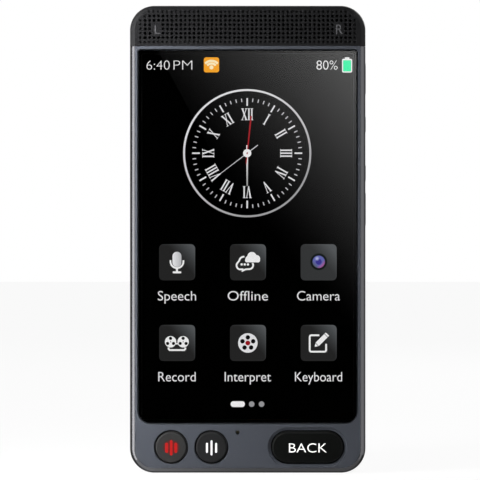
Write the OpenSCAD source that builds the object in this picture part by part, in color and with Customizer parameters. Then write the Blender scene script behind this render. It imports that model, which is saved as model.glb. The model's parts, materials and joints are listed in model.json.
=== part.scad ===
// Handheld translator: a slate frame with a black speaker cap, a touch display and six sprung keys.
// Every piece is drawn lying on its back, with x across, y up the body and z from the back face to the
// front. stand() then sets it on its bottom edge: +Z up, front towards -Y, origin under its middle.

/* [Body] */
// Width of the body
body_w = 58; // [58:0.5:60]
// Height of the body
body_h = 115; // [115:0.5:118]
// Thickness of the body
body_t = 12.8; // [12.8:0.1:13.4]
// Radius of the four corners, seen from the front
corner_r = 6; // [5.8:0.1:6.2]
// Thickness of the side walls
wall = 1.6; // [1.5:0.05:1.65]
// Thickness of the front face
face_t = 1.2; // [1.1:0.05:1.25]
// Depth of the rear cover, from the back face to the parting line
rear_t = 3.6; // [3.4:0.1:3.6]
// Height of the black speaker cap at the top
cap_h = 10; // [9.8:0.1:10.2]

/* [Display] */
// Width of the rim beside the glass
rim = 1.9; // [1.8:0.05:2]
// Height of the chin below the glass
chin_h = 12.1; // [12:0.1:12.4]
// Thickness of the cover glass
glass_t = 0.8; // [0.7:0.05:0.8]
// Gap round the cover glass
glass_gap = 0.25; // [0.15:0.05:0.3]

/* [Front buttons] */
// Height of the button centres above the bottom edge
button_y = 6.4; // [6.35:0.05:6.45]
// Diameter of the two talk buttons
talk_d = 7.7; // [7.4:0.1:7.8]
// Place of the red talk button, from the middle
red_x = -18.8; // [-19:0.1:-18.6]
// Place of the white talk button, from the middle
white_x = -8.9; // [-9:0.1:-8.8]
// Place of the back button, from the middle
back_x = 14.7; // [14.5:0.1:14.9]
// Length of the back button
back_l = 17.5; // [17:0.1:17.6]
// Gap between a front button and its hole
button_gap = 0.32; // [0.25:0.01:0.35]
// Height of the front buttons above the face
button_proud = 0.25; // [0.2:0.05:0.4]
// Travel of the front buttons
button_travel = 0.3; // [0.2:0.05:0.3]

/* [Side keys] */
// Height of the camera key's centre above the bottom edge
camera_key_y = 65; // [64.8:0.1:65]
// Height of the volume rocker's centre above the bottom edge
rocker_y = 79.9; // [79.8:0.1:80]
// Height of the power key's centre above the bottom edge
power_key_y = 97.3; // [97.2:0.1:97.6]
// Length of the camera key
camera_key_l = 8.4; // [8:0.1:8.4]
// Length of the volume rocker
rocker_l = 16.2; // [15.8:0.1:16.2]
// Length of the power key
power_key_l = 7.9; // [7.6:0.1:8]
// Width of the side keys, front to back
side_key_w = 2.4; // [2.2:0.1:2.4]
// Height of the side keys above the side of the body
side_proud = 0.22; // [0.15:0.01:0.3]

/* [Speaker grille] */
// Radius of a grille hole
hole_r = 0.33; // [0.28:0.01:0.36]
// Number of hole columns
hole_columns = 49; // [45:2:49]
// Number of hole rows
hole_rows = 8; // [6:1:8]
// Distance between hole columns
column_pitch = 1.095; // [1.05:0.005:1.1]
// Distance between hole rows
row_pitch = 1.057; // [1:0.001:1.06]

/* [Rear camera] */
// Place of the camera, from the middle
camera_x = 15.5; // [15:0.1:15.6]
// Height of the camera above the bottom edge
camera_y = 95; // [94.8:0.1:95.2]
// Radius of the camera ring
camera_ring_r = 4.2; // [4:0.1:4.3]
// Place of the flash, from the middle
flash_x = 6.8; // [6.5:0.1:7]

/* [Hidden] */
$fn = 64;
cut = 1;                                  // how far a cutting shape runs past a face
join = 0.1;                               // how far a boss runs into what carries it

// Outer edge of the frame and the cap: a round, then a chamfer up to the face
edge_r = 1.7;                             // radius of the round
chamfer = 0.8;                            // width and depth of the chamfer
edge_turn = 45;                           // angle at which the round meets the chamfer
edge_steps = 8;
round_z = body_t - chamfer - edge_r * sin(edge_turn);
front_edge = concat(
    [[0, rear_t]],
    [for (i = [0 : edge_steps]) let (a = edge_turn * i / edge_steps)
        [edge_r * (1 - cos(a)), round_z + edge_r * sin(a)]],
    [[edge_r * (1 - cos(edge_turn)) + chamfer, body_t]]
);

// Outer edge of the rear cover: a quarter round up to the parting line
rear_r = 3;
rear_steps = 6;
rear_edge = concat(
    [for (i = [0 : rear_steps]) let (a = 90 * i / rear_steps)
        [rear_r * (1 - sin(a)), rear_r * (1 - cos(a))]],
    [[0, rear_t]]
);

// Levels, from the back face
face_in = body_t - face_t;                // inside of the front face
rear_in = 1.3;                            // inside of the back face
tray_wall = 2.4;                          // wall of the rear cover, with its lip
lip_z = rear_t + 0.7;                     // top of the rear cover's lip
post_z = lip_z + 0.1;                     // where the screw bosses start
glass_z = body_t - 0.1 - glass_t;         // back of the cover glass
mask_t = 0.1;
lcd_z = glass_z - mask_t - 1.2;           // back of the display panel
ledge_z = face_in - 1;                    // back of the ledge that carries the glass
backlight_z = lcd_z - 1;                  // back of the backlight
foam_t = 0.4;
plate_t = 0.6;
plate_z = backlight_z - foam_t - plate_t; // back of the mid plate
board_t = 0.8;
cable_t = 0.15;                           // flat cables and springs
lower_z = plate_z - 0.1 - board_t;        // back of the lower board
lower_top = lower_z + board_t;
main_z = plate_z - 1.4 - board_t;         // back of the main board
battery_z = rear_in + 0.2;
battery_t = plate_z - 0.7 - battery_z;

// Outlines, from the front
cap_y = body_h - cap_h;                   // joint between the frame and the cap
bulkhead_y = cap_y - 0.8;                 // wall between the display and the speakers
inner_x = body_w / 2 - wall;
inner_r = corner_r - wall;
window_w = body_w - 2 * rim;
window_h = bulkhead_y - chin_h;
window_low_r = 3.3;
window_top_r = 0.9;
window_chamfer = 0.25;
ledge_w = 1;                              // how far the ledge reaches in under the glass
ledge_r = 0.5;
panel_r = 0.4;
open_w = window_w - 2 * ledge_w;          // opening inside the ledge
open_h = window_h - 2 * ledge_w;
open_y = chin_h + ledge_w;
display_gap = 0.3;                        // gap between the panel and the ledge
display_w = open_w - 2 * display_gap;
display_h = open_h - 2 * display_gap;
display_y = open_y + display_gap;
picture_w = 51.5;                         // the visible picture
picture_h = 86.6;
picture_y = 15.95;
film_gap = 0.1;
foam_x = display_w / 2 - 1;               // foam frame behind the backlight
foam_y = [display_y + 3.5, display_y + display_h - 1];
foam_w = 4;
flex_x = [0, 10];                         // cable from the panel to the lower board
flex_t = 0.2;
flex_y = [10.4, 12.6, display_y + 2.2];

// Screws
boss_bore_r = 0.75;
case_screw_x = body_w / 2 - 4.4;
case_screw_y = [chin_h + 1.7, body_h - 6.7];
case_boss_r = 1.6;
case_head_r = 1.5;
case_screw_l = 7.2;
well_r = case_head_r + 0.15;              // counterbore in the rear cover
well_t = 1.1;
post_r = 2.2;
cap_screw_x = 2.9;
cap_screw_z = 6;
plate_screw_x = inner_x - 0.85;
plate_screw_y = [20, 54, 90.6];
small_bore_r = 0.5;
small_head_t = 0.6;
main_screws = [[-24.5, 80.5], [21, 80.5], [-24.5, 99.8], [21, 99.8]];
standoff_r = 1.4;
plate_screws_low = [[-19, 19], [19, 19]]; // lower board to mid plate
board_boss = [-2.95, 5];                  // lower board to front face
board_boss_r = 1.15;

// Front buttons
talk_r = talk_d / 2;
flange_out = 0.75;                        // how far a flange reaches past its button
flange_z = face_in - 0.9;                 // back of the flange
flange_t = 0.8;
button_top = body_t + button_proud;
button_chamfer = 0.4;
dish = 0.7;                               // width of the slope round the back button
dish_t = 0.5;
mark_t = 0.12;
switch_w = 4.6;
switch_r = 0.4;
switch_top = lower_top + 1.4;
plunger_r = 1;
plunger_z = flange_z - 1.15;
front_buttons = [red_x, white_x, back_x];
sheet_t = 0.4;                            // silicone sheet round the plungers
sheet_y = [2, 10.8];

// Side keys: the flange of the rocker sits deeper, so that either end can swing out
key_z = 6.5;                              // middle of the keys, front to back
slot_gap = 0.1;
side_flange_t = 0.6;
side_flange_out = 0.8;
side_flange_x = inner_x - 0.1 - side_flange_t;
rocker_flange_x = inner_x - 0.3 - side_flange_t;
rocker_end = 3.95;                        // length of each raised end
rocker_drop = 0.17;                       // how far its middle lies below the ends
rocker_arm = 6;                           // from the pin to each switch
key_board_x = inner_x - 3.2;              // outer face of the side key board
key_board_t = 0.4;
bracket_t = 0.4;
bracket_y = [60, 102];
foot_y = [66, 89];                        // feet that hold the bracket to the plate
foot_l = 2.2;
foot_w = 2.6;
bracket_z = [key_z - 1.8, key_z + 1.8];
side_switch_t = 1.5;
side_switch_l = 3.2;
side_switch_w = 2.6;
side_switch_top = key_board_x + side_switch_t;
side_plunger_r = 0.6;
side_plunger_x = side_switch_top - 0.35;
pin_r = 0.4;
pin_x = side_switch_top - 0.15;
pin_clearance = 0.02;
ear_t = 0.6;
side_switch_y = [camera_key_y, rocker_y - rocker_arm, rocker_y + rocker_arm, power_key_y];

// Chassis, boards and battery
plate_x = inner_x - 0.3;
plate_y = [chin_h + 2.1, bulkhead_y - 0.8];
pad_x = [-20, 10];                        // pads that hold the battery to the plate
pad_w = 8;
pad_y = [28, 72];
main_board_x = [-inner_x + 1, inner_x - 4.4];
main_board_y = [78.5, cap_y - 3.2];
lower_board_x = 22.5;
lower_board_y = [2.2, 21.5];
battery_x = -1.6;
battery_w = 48.8;
battery_y = [24, 76.5];
battery_r = 1.5;
lead_x = [13, 17];
lead_end_y = 81.5;
link_x = [-6, 0];                         // cable between the two boards
link_y = [18, 21.9, 78, 79.4];

// Parts on the boards, each given as [x, y, width, height, thickness]
processor_at = [-21, 84, 12, 12, 1.2];
memory_at = [-7.5, 84.5, 9, 11, 1];
can_at = [-22.5, 82.5, 25.5, 15, 2];
can_wall = 0.2;
battery_plug = [12, 79.6, 6, 2.8, 1.2];
link_plug = [-9, 79.4, 8, 2, 0.9];
lower_plug = [6, 16.5, 8, 2, 0.9];

// Openings in the bottom edge
usb_x = 2.7;
usb_w = 8.94;
usb_h = 3.26;
usb_z = lower_z - usb_h / 2;
usb_wall = 0.3;
usb_y = 0.3;
usb_l = 7.3;
usb_end = 0.6;                            // thickness of its closed end
usb_gap = 0.18;
tongue_w = 6.6;
tongue_t = 0.7;
eye_x = 16;                               // middle of the lanyard eye
eye_w = 1.75;                             // width of each of its two openings
eye_bar = 0.8;                            // width of the bar between them
eye_z = [5, 7.1];
sound_x = -13.6;                          // middle of the row of sound holes
sound_pitch = 2;
sound_r = 0.5;
sound_z = 6.1;
mic_at = [-2.5, 10];
mic_hole_r = 0.36;
mic_size = [3.5, 2.65, 1];

// Rear camera
tube_r = 2.6;                             // lens tube on a square housing
tube_z = 3.6;
camera_w = 8.4;
flange_r = 5;                             // ring's flange inside the cover
window_r = 3.45;
seat_r = 3.5;
flash_r = 1.9;
flash_flange_r = 2.4;
flash_guide_r = 1.2;                      // light guide down to the lamp
led_w = 2.4;

// Speakers
speaker_x = [5.4, 22.8];
speaker_y = [cap_y + 0.4, body_h - wall - 0.2];
speaker_z = [7.3, 10.9];
driver_l = 15.2;                          // the diaphragm in each speaker
driver_w = 6;
driver_z = speaker_z[1] - 0.9;
mesh_t = 0.15;
spring_x = [10.5, 12.5];                  // contact springs between the main board and the speakers
spring_y = [99.5, 106.4, 107.8];
antenna_x = [-20, -3];
antenna_t = 0.2;
rib_w = 4;

// Sets a lying piece on its bottom edge
module stand() {
    translate([0, body_t / 2, 0]) rotate([90, 0, 0]) children();
}

// Local x runs up the body, local y towards the front and local z out of the right-hand side
module on_side(y, z) {
    translate([0, y, z]) rotate([90, 0, 90]) children();
}

// Local x runs across, local y towards the front and local z down out of the bottom edge
module on_bottom(x, y, z) {
    translate([x, y, z]) rotate([90, 0, 0]) children();
}

// A block from its lowest to its highest corner
module block(low, high) {
    translate(low) cube(high - low);
}

// A solid over a rectangle with round corners, low_r at the bottom and top_r at the top. Its edge
// follows [inset, z] points, from the lowest z to the highest.
module slab(w, h, low_r, top_r, edge) {
    depth = max(low_r, top_r, 0.5);
    bottom = edge[0][1];
    top = edge[len(edge) - 1][1];
    function section(reach) = concat(
        [[0, bottom]], [for (p = edge) [reach - p[0], p[1]]], [[0, top]]);
    if (w > 2 * depth + 0.01 && h > 2 * depth + 0.01)
        block([-w / 2 + depth, depth, bottom], [w / 2 - depth, h - depth, top]);
    for (side = [-1, 1]) {
        if (h > low_r + top_r + 0.01)
            translate([side * (w / 2 - depth), side > 0 ? h - top_r : low_r, 0])
                rotate([90, 0, side > 0 ? 0 : 180])
                    linear_extrude(h - low_r - top_r) polygon(section(depth));
        slab_corner([side * (w / 2 - low_r), low_r], side > 0 ? 270 : 180, low_r, section(low_r));
        slab_corner([side * (w / 2 - top_r), h - top_r], side > 0 ? 0 : 90, top_r, section(top_r));
    }
    if (w > 2 * low_r + 0.01)
        translate([-w / 2 + low_r, depth, 0]) rotate([90, 0, 270])
            mirror([0, 0, 1]) linear_extrude(w - 2 * low_r) polygon(section(depth));
    if (w > 2 * top_r + 0.01)
        translate([-w / 2 + top_r, h - depth, 0]) rotate([90, 0, 90])
            linear_extrude(w - 2 * top_r) polygon(section(depth));
}

// One round corner of a slab
module slab_corner(at, turn, radius, section) {
    if (radius > 0)
        translate(at) rotate([0, 0, turn]) rotate_extrude(angle = 90) polygon(section);
}

// A straight-sided slab between two levels
module prism(w, h, low_r, top_r, levels) {
    slab(w, h, low_r, top_r, [[0, levels[0]], [0, levels[1]]]);
}

// A slab with round ends, centred on the origin
module pill(l, w, edge) {
    translate([0, -w / 2, 0]) slab(l, w, w / 2, w / 2, edge);
}

module flat_pill(l, w, levels) {
    pill(l, w, [[0, levels[0]], [0, levels[1]]]);
}

module bore(at, r, levels) {
    translate([at[0], at[1], levels[0]]) cylinder(r = r, h = levels[1] - levels[0]);
}

// A round-headed screw that is driven towards +z, with a cross slot in its head
module screw(head_r, head_t, shank_r, length) {
    difference() {
        union() {
            cylinder(r = head_r, h = head_t);
            cylinder(r = shank_r, h = length);
        }
        for (turn = [0, 90])
            rotate([0, 0, turn]) block([-0.6 * head_r, -0.12, -cut], [0.6 * head_r, 0.12, 0.6 * head_t]);
    }
}

module both_sides() {
    for (side = [-1, 1]) mirror([side < 0 ? 1 : 0, 0, 0]) children();
}

// The outer form that the frame and the cap share
module front_form() {
    slab(body_w, body_h, corner_r, corner_r, front_edge);
}

// Openings in the face of the frame
module window_cut() {
    translate([0, chin_h, 0])
        slab(window_w, window_h, window_low_r, window_top_r, [
            [0, face_in], [0, body_t - window_chamfer], [-cut, body_t - window_chamfer + cut]
        ]);
    translate([0, open_y, 0])
        prism(open_w, open_h, ledge_r, ledge_r, [ledge_z - cut, face_in + join]);
}

module talk_hole_cut(x) {
    hole = talk_r + button_gap;
    bore([x, button_y], hole, [face_in - join, body_t + cut]);
    translate([x, button_y, body_t - 0.15]) cylinder(r1 = hole, r2 = hole + cut, h = cut);
}

module back_hole_cut() {
    translate([back_x, button_y, 0])
        pill(back_l + 2 * button_gap, talk_d + 2 * button_gap, [
            [0, face_in - join], [0, body_t - dish_t], [-2 * dish, body_t + dish_t]
        ]);
}

module side_slot_cut(y, l) {
    on_side(y, key_z)
        flat_pill(l + 2 * slot_gap, side_key_w + 2 * slot_gap, [inner_x - cut, body_w / 2 + cut]);
}

module bottom_cuts() {
    on_bottom(usb_x, wall + join, usb_z)
        flat_pill(usb_w + 2 * usb_gap, usb_h + 2 * usb_gap, [0, wall + cut]);
    for (i = [-2 : 2])
        on_bottom(sound_x + i * sound_pitch, wall + cut, sound_z) cylinder(r = sound_r, h = wall + 2 * cut);
    for (side = [-1, 1])
        block([eye_x + side * (eye_bar + eye_w) / 2 - eye_w / 2, -cut, eye_z[0]],
              [eye_x + side * (eye_bar + eye_w) / 2 + eye_w / 2, wall, eye_z[1]]);
    block([eye_x - eye_bar / 2 - eye_w, 1.2, eye_z[0]], [eye_x + eye_bar / 2 + eye_w, 3, eye_z[1]]);
}

module bulkhead_cuts() {
    block([-inner_x, bulkhead_y - cut, 0], [inner_x, cap_y + cut, post_z]);
    both_sides() {
        translate([cap_screw_x, cap_y + cut, cap_screw_z])
            rotate([90, 0, 0]) cylinder(r = 0.85, h = 2 + cut);
        block([10, bulkhead_y - cut, post_z], [14, cap_y + cut, 6.6]);
    }
}

module frame_bosses() {
    difference() {
        union() {
            both_sides() {
                bore([case_screw_x, case_screw_y[0]], case_boss_r, [post_z, plate_z - 0.6]);
                block([case_screw_x, case_screw_y[0] - 1, post_z],
                      [inner_x + join, case_screw_y[0] + 1, plate_z - 0.6]);
                for (y = plate_screw_y)
                    block([inner_x - 1.6, y - 1.2, plate_z + plate_t],
                          [inner_x + join, y + 1.2, ledge_z + join]);
            }
            bore(board_boss, board_boss_r, [lower_top, face_in + join]);
            block([eye_x - 3, wall - join, 4.5], [eye_x + 3, 3.6, lower_z - 0.1]);
        }
        both_sides() {
            bore([case_screw_x, case_screw_y[0]], boss_bore_r, [post_z - cut, plate_z]);
            for (y = plate_screw_y)
                bore([plate_screw_x, y], small_bore_r + 0.05, [plate_z, ledge_z - 0.1]);
        }
        bore(board_boss, small_bore_r + 0.05, [lower_top - cut, face_in - 0.6]);
    }
}

module front_frame() {
    color([0.3, 0.32, 0.36]) difference() {
        union() {
            difference() {
                intersection() {
                    front_form();
                    block([-body_w, -cut, 0], [body_w, cap_y, body_t + cut]);
                }
                translate([0, wall, 0])
                    prism(2 * inner_x, bulkhead_y - wall, inner_r, 0, [0, ledge_z]);
                translate([0, wall, 0])
                    prism(2 * inner_x, chin_h - 0.8 - wall, inner_r, 0, [ledge_z - cut, face_in]);
                window_cut();
                for (x = [red_x, white_x]) talk_hole_cut(x);
                back_hole_cut();
                bore(mic_at, mic_hole_r, [face_in - cut, body_t + cut]);
                side_slot_cut(camera_key_y, camera_key_l);
                side_slot_cut(rocker_y, rocker_l + 0.1);
                side_slot_cut(power_key_y, power_key_l);
                bulkhead_cuts();
            }
            frame_bosses();
        }
        bottom_cuts();
    }
}

// Grille: hole centres, where a column or row at the border is a shallow dimple
function hole_x(i) = (i - (hole_columns - 1) / 2) * column_pitch;
function hole_y(j) = body_h - 1.6 - j * row_pitch;
function corner_reach(x, y) = norm([max(0, abs(x) - body_w / 2 + corner_r), max(0, y - body_h + corner_r)]);
function at_border(i, j) = i == 0 || i == hole_columns - 1 || j == 0 || j == hole_rows - 1
    || corner_reach(hole_x(i), hole_y(j)) > 3.8;
function under_mark(i, j) = (i == 3 || i == 4 || i == hole_columns - 4 || i == hole_columns - 5)
    && j >= 3 && j <= 5;

module grille_cut() {
    for (i = [0 : hole_columns - 1], j = [0 : hole_rows - 1])
        if (corner_reach(hole_x(i), hole_y(j)) < 4.6 && !under_mark(i, j))
            bore([hole_x(i), hole_y(j)], hole_r,
                 [at_border(i, j) ? body_t - 0.3 : face_in - 0.2, body_t + cut]);
}

module cap_bosses() {
    difference() {
        union() {
            both_sides() {
                bore([case_screw_x, case_screw_y[1]], case_boss_r, [post_z, face_in + join]);
                block([case_screw_x, case_screw_y[1] - 1, post_z],
                      [inner_x + join, case_screw_y[1] + 1, face_in + join]);
                translate([cap_screw_x, cap_y + 4, cap_screw_z])
                    rotate([90, 0, 0]) cylinder(r = 1.7, h = 4);
            }
            block([-rib_w / 2, cap_y, cap_screw_z - 1.7], [rib_w / 2, body_h - wall + join, face_in + join]);
        }
        both_sides() {
            bore([case_screw_x, case_screw_y[1]], boss_bore_r, [post_z - cut, face_in - 1]);
            translate([cap_screw_x, cap_y + 3.2, cap_screw_z])
                rotate([90, 0, 0]) cylinder(r = 0.65, h = 3.2 + cut);
        }
    }
}

module speaker_cap() {
    color([0.1, 0.1, 0.105]) difference() {
        union() {
            difference() {
                intersection() {
                    front_form();
                    block([-body_w, cap_y, 0], [body_w, body_h + cut, body_t + cut]);
                }
                translate([0, cap_y - 6, 0])
                    prism(2 * inner_x, cap_h + 6 - wall, 0, inner_r, [0, face_in]);
            }
            cap_bosses();
        }
        grille_cut();
    }
}

module rear_cover() {
    color([0.2, 0.215, 0.24]) difference() {
        union() {
            difference() {
                union() {
                    slab(body_w, body_h, corner_r, corner_r, rear_edge);
                    translate([0, wall + 0.05, 0])
                        prism(2 * inner_x - 0.1, body_h - 2 * wall - 0.1, inner_r, inner_r,
                              [rear_t - cut, lip_z]);
                }
                translate([0, tray_wall, 0])
                    prism(body_w - 2 * tray_wall, body_h - 2 * tray_wall,
                          corner_r - tray_wall, corner_r - tray_wall, [rear_in, lip_z + cut]);
            }
            both_sides() for (y = case_screw_y) bore([case_screw_x, y], post_r, [rear_in - join, lip_z]);
        }
        both_sides() for (y = case_screw_y) {
            bore([case_screw_x, y], 0.95, [-cut, lip_z + cut]);
            bore([case_screw_x, y], well_r, [-cut, well_t]);
        }
        bore([camera_x, camera_y], camera_ring_r + 0.05, [-cut, rear_in + cut]);
        bore([flash_x, camera_y], flash_r + 0.05, [-cut, rear_in + cut]);
    }
}

module case_screws() {
    color([0.2, 0.2, 0.21])
        both_sides() for (y = case_screw_y)
            translate([case_screw_x, y, 0.2]) screw(case_head_r, 0.9, 0.7, case_screw_l);
}

module cap_screws() {
    color([0.55, 0.56, 0.58])
        both_sides() translate([cap_screw_x, bulkhead_y - 0.9, cap_screw_z])
            rotate([-90, 0, 0]) screw(1.4, 0.9, 0.6, 4.4);
}

// Rear camera and flash
module camera_ring() {
    color([0.32, 0.33, 0.35]) translate([camera_x, camera_y, 0])
        rotate_extrude() polygon([
            [seat_r, 0.1], [seat_r + 0.1, 0], [camera_ring_r, 0], [camera_ring_r, rear_in],
            [flange_r, rear_in], [flange_r, 1.7], [3, 1.7], [3, 1], [seat_r, 1]
        ]);
}

module camera_window() {
    color([0.05, 0.06, 0.08, 0.6]) bore([camera_x, camera_y], window_r, [0.25, 1]);
}

module flash_lens() {
    color([0.95, 0.93, 0.82, 0.8]) translate([flash_x, camera_y, 0])
        rotate_extrude() polygon([
            [0, 0.05], [flash_r, 0.05], [flash_r, rear_in], [flash_flange_r, rear_in],
            [flash_flange_r, 1.7], [flash_guide_r, 1.7], [flash_guide_r, 5], [0, 5]
        ]);
}

module camera_module() {
    color([0.08, 0.08, 0.09]) {
        difference() {
            bore([camera_x, camera_y], tube_r, [1.8, tube_z + join]);
            bore([camera_x, camera_y], 1.5, [0, 2.4]);
        }
        translate([camera_x, camera_y - camera_w / 2, 0])
            prism(camera_w, camera_w, 0.8, 0.8, [tube_z, main_z]);
    }
}

module flash_led() {
    color([0.95, 0.9, 0.5])
        block([flash_x - led_w / 2, camera_y - led_w / 2, main_z - led_w / 2],
              [flash_x + led_w / 2, camera_y + led_w / 2, main_z]);
}

// Display
module cover_glass() {
    color([0.05, 0.05, 0.06, 0.5]) translate([0, chin_h + glass_gap, 0])
        slab(window_w - 2 * glass_gap, window_h - 2 * glass_gap,
             window_low_r - glass_gap, window_top_r - glass_gap, [
                 [0, glass_z], [0, glass_z + glass_t - 0.15], [0.15, glass_z + glass_t]
             ]);
}

module mask_film() {
    color([0.02, 0.02, 0.02]) difference() {
        translate([0, open_y + film_gap, 0])
            prism(open_w - 2 * film_gap, open_h - 2 * film_gap, panel_r, panel_r,
                  [glass_z - mask_t, glass_z]);
        translate([0, picture_y, 0])
            prism(picture_w, picture_h, 0, 0, [glass_z - cut, glass_z + cut]);
    }
}

module glass_gasket() {
    color([0.12, 0.12, 0.12]) difference() {
        translate([0, chin_h + glass_gap, 0])
            prism(window_w - 2 * glass_gap, window_h - 2 * glass_gap,
                  window_low_r - glass_gap, window_top_r - glass_gap, [face_in, glass_z]);
        translate([0, open_y, 0])
            prism(open_w, open_h, ledge_r, ledge_r, [face_in - cut, glass_z + cut]);
    }
}

module lcd_panel() {
    color([0.03, 0.03, 0.035]) translate([0, display_y, 0])
        prism(display_w, display_h, panel_r, panel_r, [lcd_z, glass_z - mask_t]);
}

module backlight_unit() {
    color([0.85, 0.87, 0.9]) translate([0, display_y, 0])
        prism(display_w, display_h, panel_r, panel_r, [backlight_z, lcd_z]);
}

module display_foam() {
    color([0.15, 0.15, 0.16]) difference() {
        block([-foam_x, foam_y[0], backlight_z - foam_t], [foam_x, foam_y[1], backlight_z]);
        block([-foam_x + foam_w, foam_y[0] + foam_w, 0], [foam_x - foam_w, foam_y[1] - foam_w, body_t]);
    }
}

// A flat cable of even thickness that follows [y, z] points, between two values of x
module flat_cable(from_x, to_x, points) {
    translate([from_x, 0, 0]) rotate([90, 0, 90]) linear_extrude(to_x - from_x) polygon(points);
}

module display_flex() {
    color([0.75, 0.45, 0.15]) flat_cable(flex_x[0], flex_x[1], [
        [flex_y[2], backlight_z], [flex_y[1], backlight_z], [flex_y[1], lower_top + cable_t],
        [flex_y[0], lower_top + cable_t], [flex_y[0], lower_top], [flex_y[1] + flex_t, lower_top],
        [flex_y[1] + flex_t, backlight_z - flex_t], [flex_y[2], backlight_z - flex_t]
    ]);
}

// Chassis
module mid_plate() {
    color([0.6, 0.61, 0.63]) difference() {
        union() {
            block([-plate_x, plate_y[0], plate_z], [plate_x, plate_y[1], plate_z + plate_t]);
            for (at = main_screws) bore(at, standoff_r, [main_z + board_t, plate_z + join]);
            for (x = pad_x)
                block([x, pad_y[0], battery_z + battery_t], [x + pad_w, pad_y[1], plate_z + join]);
        }
        for (at = main_screws) bore(at, small_bore_r + 0.05, [main_z, plate_z + cut]);
        for (at = plate_screws_low) bore(at, small_bore_r + 0.05, [plate_z - cut, plate_z + cut]);
        both_sides() for (y = plate_screw_y)
            bore([plate_screw_x, y], small_bore_r + 0.1, [plate_z - cut, plate_z + cut]);
    }
}

module plate_screws() {
    color([0.55, 0.56, 0.58]) both_sides() for (y = plate_screw_y)
        translate([plate_screw_x, y, plate_z - 0.5]) screw(0.8, 0.5, small_bore_r, 2);
}

// Boards. A part on a board lies behind it, with its front at a level.
module on_board(at, level) {
    block([at[0], at[1], level - at[4]], [at[0] + at[2], at[1] + at[3], level]);
}

module main_board() {
    color([0.05, 0.25, 0.15]) difference() {
        block([main_board_x[0], main_board_y[0], main_z],
              [main_board_x[1], main_board_y[1], main_z + board_t]);
        for (at = main_screws) bore(at, small_bore_r + 0.1, [main_z - cut, plate_z]);
    }
}

module processor() {
    color([0.12, 0.12, 0.13]) on_board(processor_at, main_z);
}

module memory_chip() {
    color([0.12, 0.12, 0.13]) on_board(memory_at, main_z);
}

module shield_can() {
    color([0.7, 0.71, 0.72]) difference() {
        on_board(can_at, main_z);
        block([can_at[0] + can_wall, can_at[1] + can_wall, main_z - can_at[4] + can_wall],
              [can_at[0] + can_at[2] - can_wall, can_at[1] + can_at[3] - can_wall, main_z + cut]);
    }
}

module board_connectors() {
    color([0.85, 0.83, 0.76]) {
        on_board(battery_plug, main_z);
        on_board(link_plug, main_z + board_t + link_plug[4]);
        on_board(lower_plug, lower_z);
    }
}

module lower_board() {
    color([0.05, 0.25, 0.15]) difference() {
        block([-lower_board_x, lower_board_y[0], lower_z], [lower_board_x, lower_board_y[1], lower_top]);
        for (at = concat([board_boss], plate_screws_low))
            bore(at, small_bore_r + 0.1, [lower_z - cut, lower_top + cut]);
    }
}

module board_screw(at, level, length) {
    translate([at[0], at[1], level - small_head_t]) screw(1, small_head_t, small_bore_r, length);
}

module board_screws() {
    color([0.55, 0.56, 0.58]) {
        for (at = main_screws) board_screw(at, main_z, 2.6);
        for (at = plate_screws_low) board_screw(at, lower_z, 2);
        board_screw(board_boss, lower_z, 3.4);
    }
}

module usb_socket() {
    color([0.72, 0.73, 0.75]) difference() {
        on_bottom(usb_x, usb_y + usb_l, usb_z) flat_pill(usb_w, usb_h, [0, usb_l]);
        on_bottom(usb_x, usb_y + usb_l - usb_end, usb_z)
            flat_pill(usb_w - 2 * usb_wall, usb_h - 2 * usb_wall, [0, usb_l + cut]);
    }
}

module usb_tongue() {
    color([0.08, 0.08, 0.08])
        block([usb_x - tongue_w / 2, usb_y + 1, usb_z - tongue_t / 2],
              [usb_x + tongue_w / 2, usb_y + usb_l - usb_end, usb_z + tongue_t / 2]);
}

module link_flex() {
    low = lower_z - cable_t;
    over = plate_z - 0.4;
    high = main_z + board_t;
    color([0.75, 0.45, 0.15]) flat_cable(link_x[0], link_x[1], [
        [link_y[0], low], [link_y[1] + 0.2, low], [link_y[1] + 0.2, over - cable_t],
        [link_y[2], over - cable_t], [link_y[2], high], [link_y[3], high],
        [link_y[3], high + cable_t], [link_y[2] + 0.2, high + cable_t], [link_y[2] + 0.2, over],
        [link_y[1], over], [link_y[1], low + cable_t], [link_y[0], low + cable_t]
    ]);
}

module battery() {
    color([0.75, 0.77, 0.8]) translate([battery_x, battery_y[0], 0])
        prism(battery_w, battery_y[1] - battery_y[0], battery_r, battery_r,
              [battery_z, battery_z + battery_t]);
}

module battery_lead() {
    top = main_z - battery_plug[4];
    color([0.75, 0.45, 0.15])
        block([lead_x[0], battery_y[1], top - cable_t], [lead_x[1], lead_end_y, top]);
}

// Sound
module speaker_box() {
    difference() {
        block([speaker_x[0], speaker_y[0], speaker_z[0]], [speaker_x[1], speaker_y[1], speaker_z[1]]);
        translate([(speaker_x[0] + speaker_x[1]) / 2, (speaker_y[0] + speaker_y[1]) / 2, 0])
            flat_pill(driver_l + 0.2, driver_w + 0.2, [driver_z, speaker_z[1] + cut]);
    }
}

module left_speaker() {
    color([0.14, 0.14, 0.15]) mirror([1, 0, 0]) speaker_box();
}

module right_speaker() {
    color([0.14, 0.14, 0.15]) speaker_box();
}

module speaker_diaphragms() {
    color([0.25, 0.25, 0.27]) both_sides()
        translate([(speaker_x[0] + speaker_x[1]) / 2, (speaker_y[0] + speaker_y[1]) / 2, 0])
            pill(driver_l, driver_w, [[0, driver_z], [0, driver_z + 0.3], [1.2, driver_z + 0.6]]);
}

module speaker_gaskets() {
    color([0.1, 0.1, 0.1]) both_sides() difference() {
        block([speaker_x[0], speaker_y[0], speaker_z[1]], [speaker_x[1], speaker_y[1], face_in - mesh_t]);
        block([speaker_x[0] + 0.9, speaker_y[0] + 0.7, 0], [speaker_x[1] - 0.9, speaker_y[1] - 0.7, body_t]);
    }
}

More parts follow.
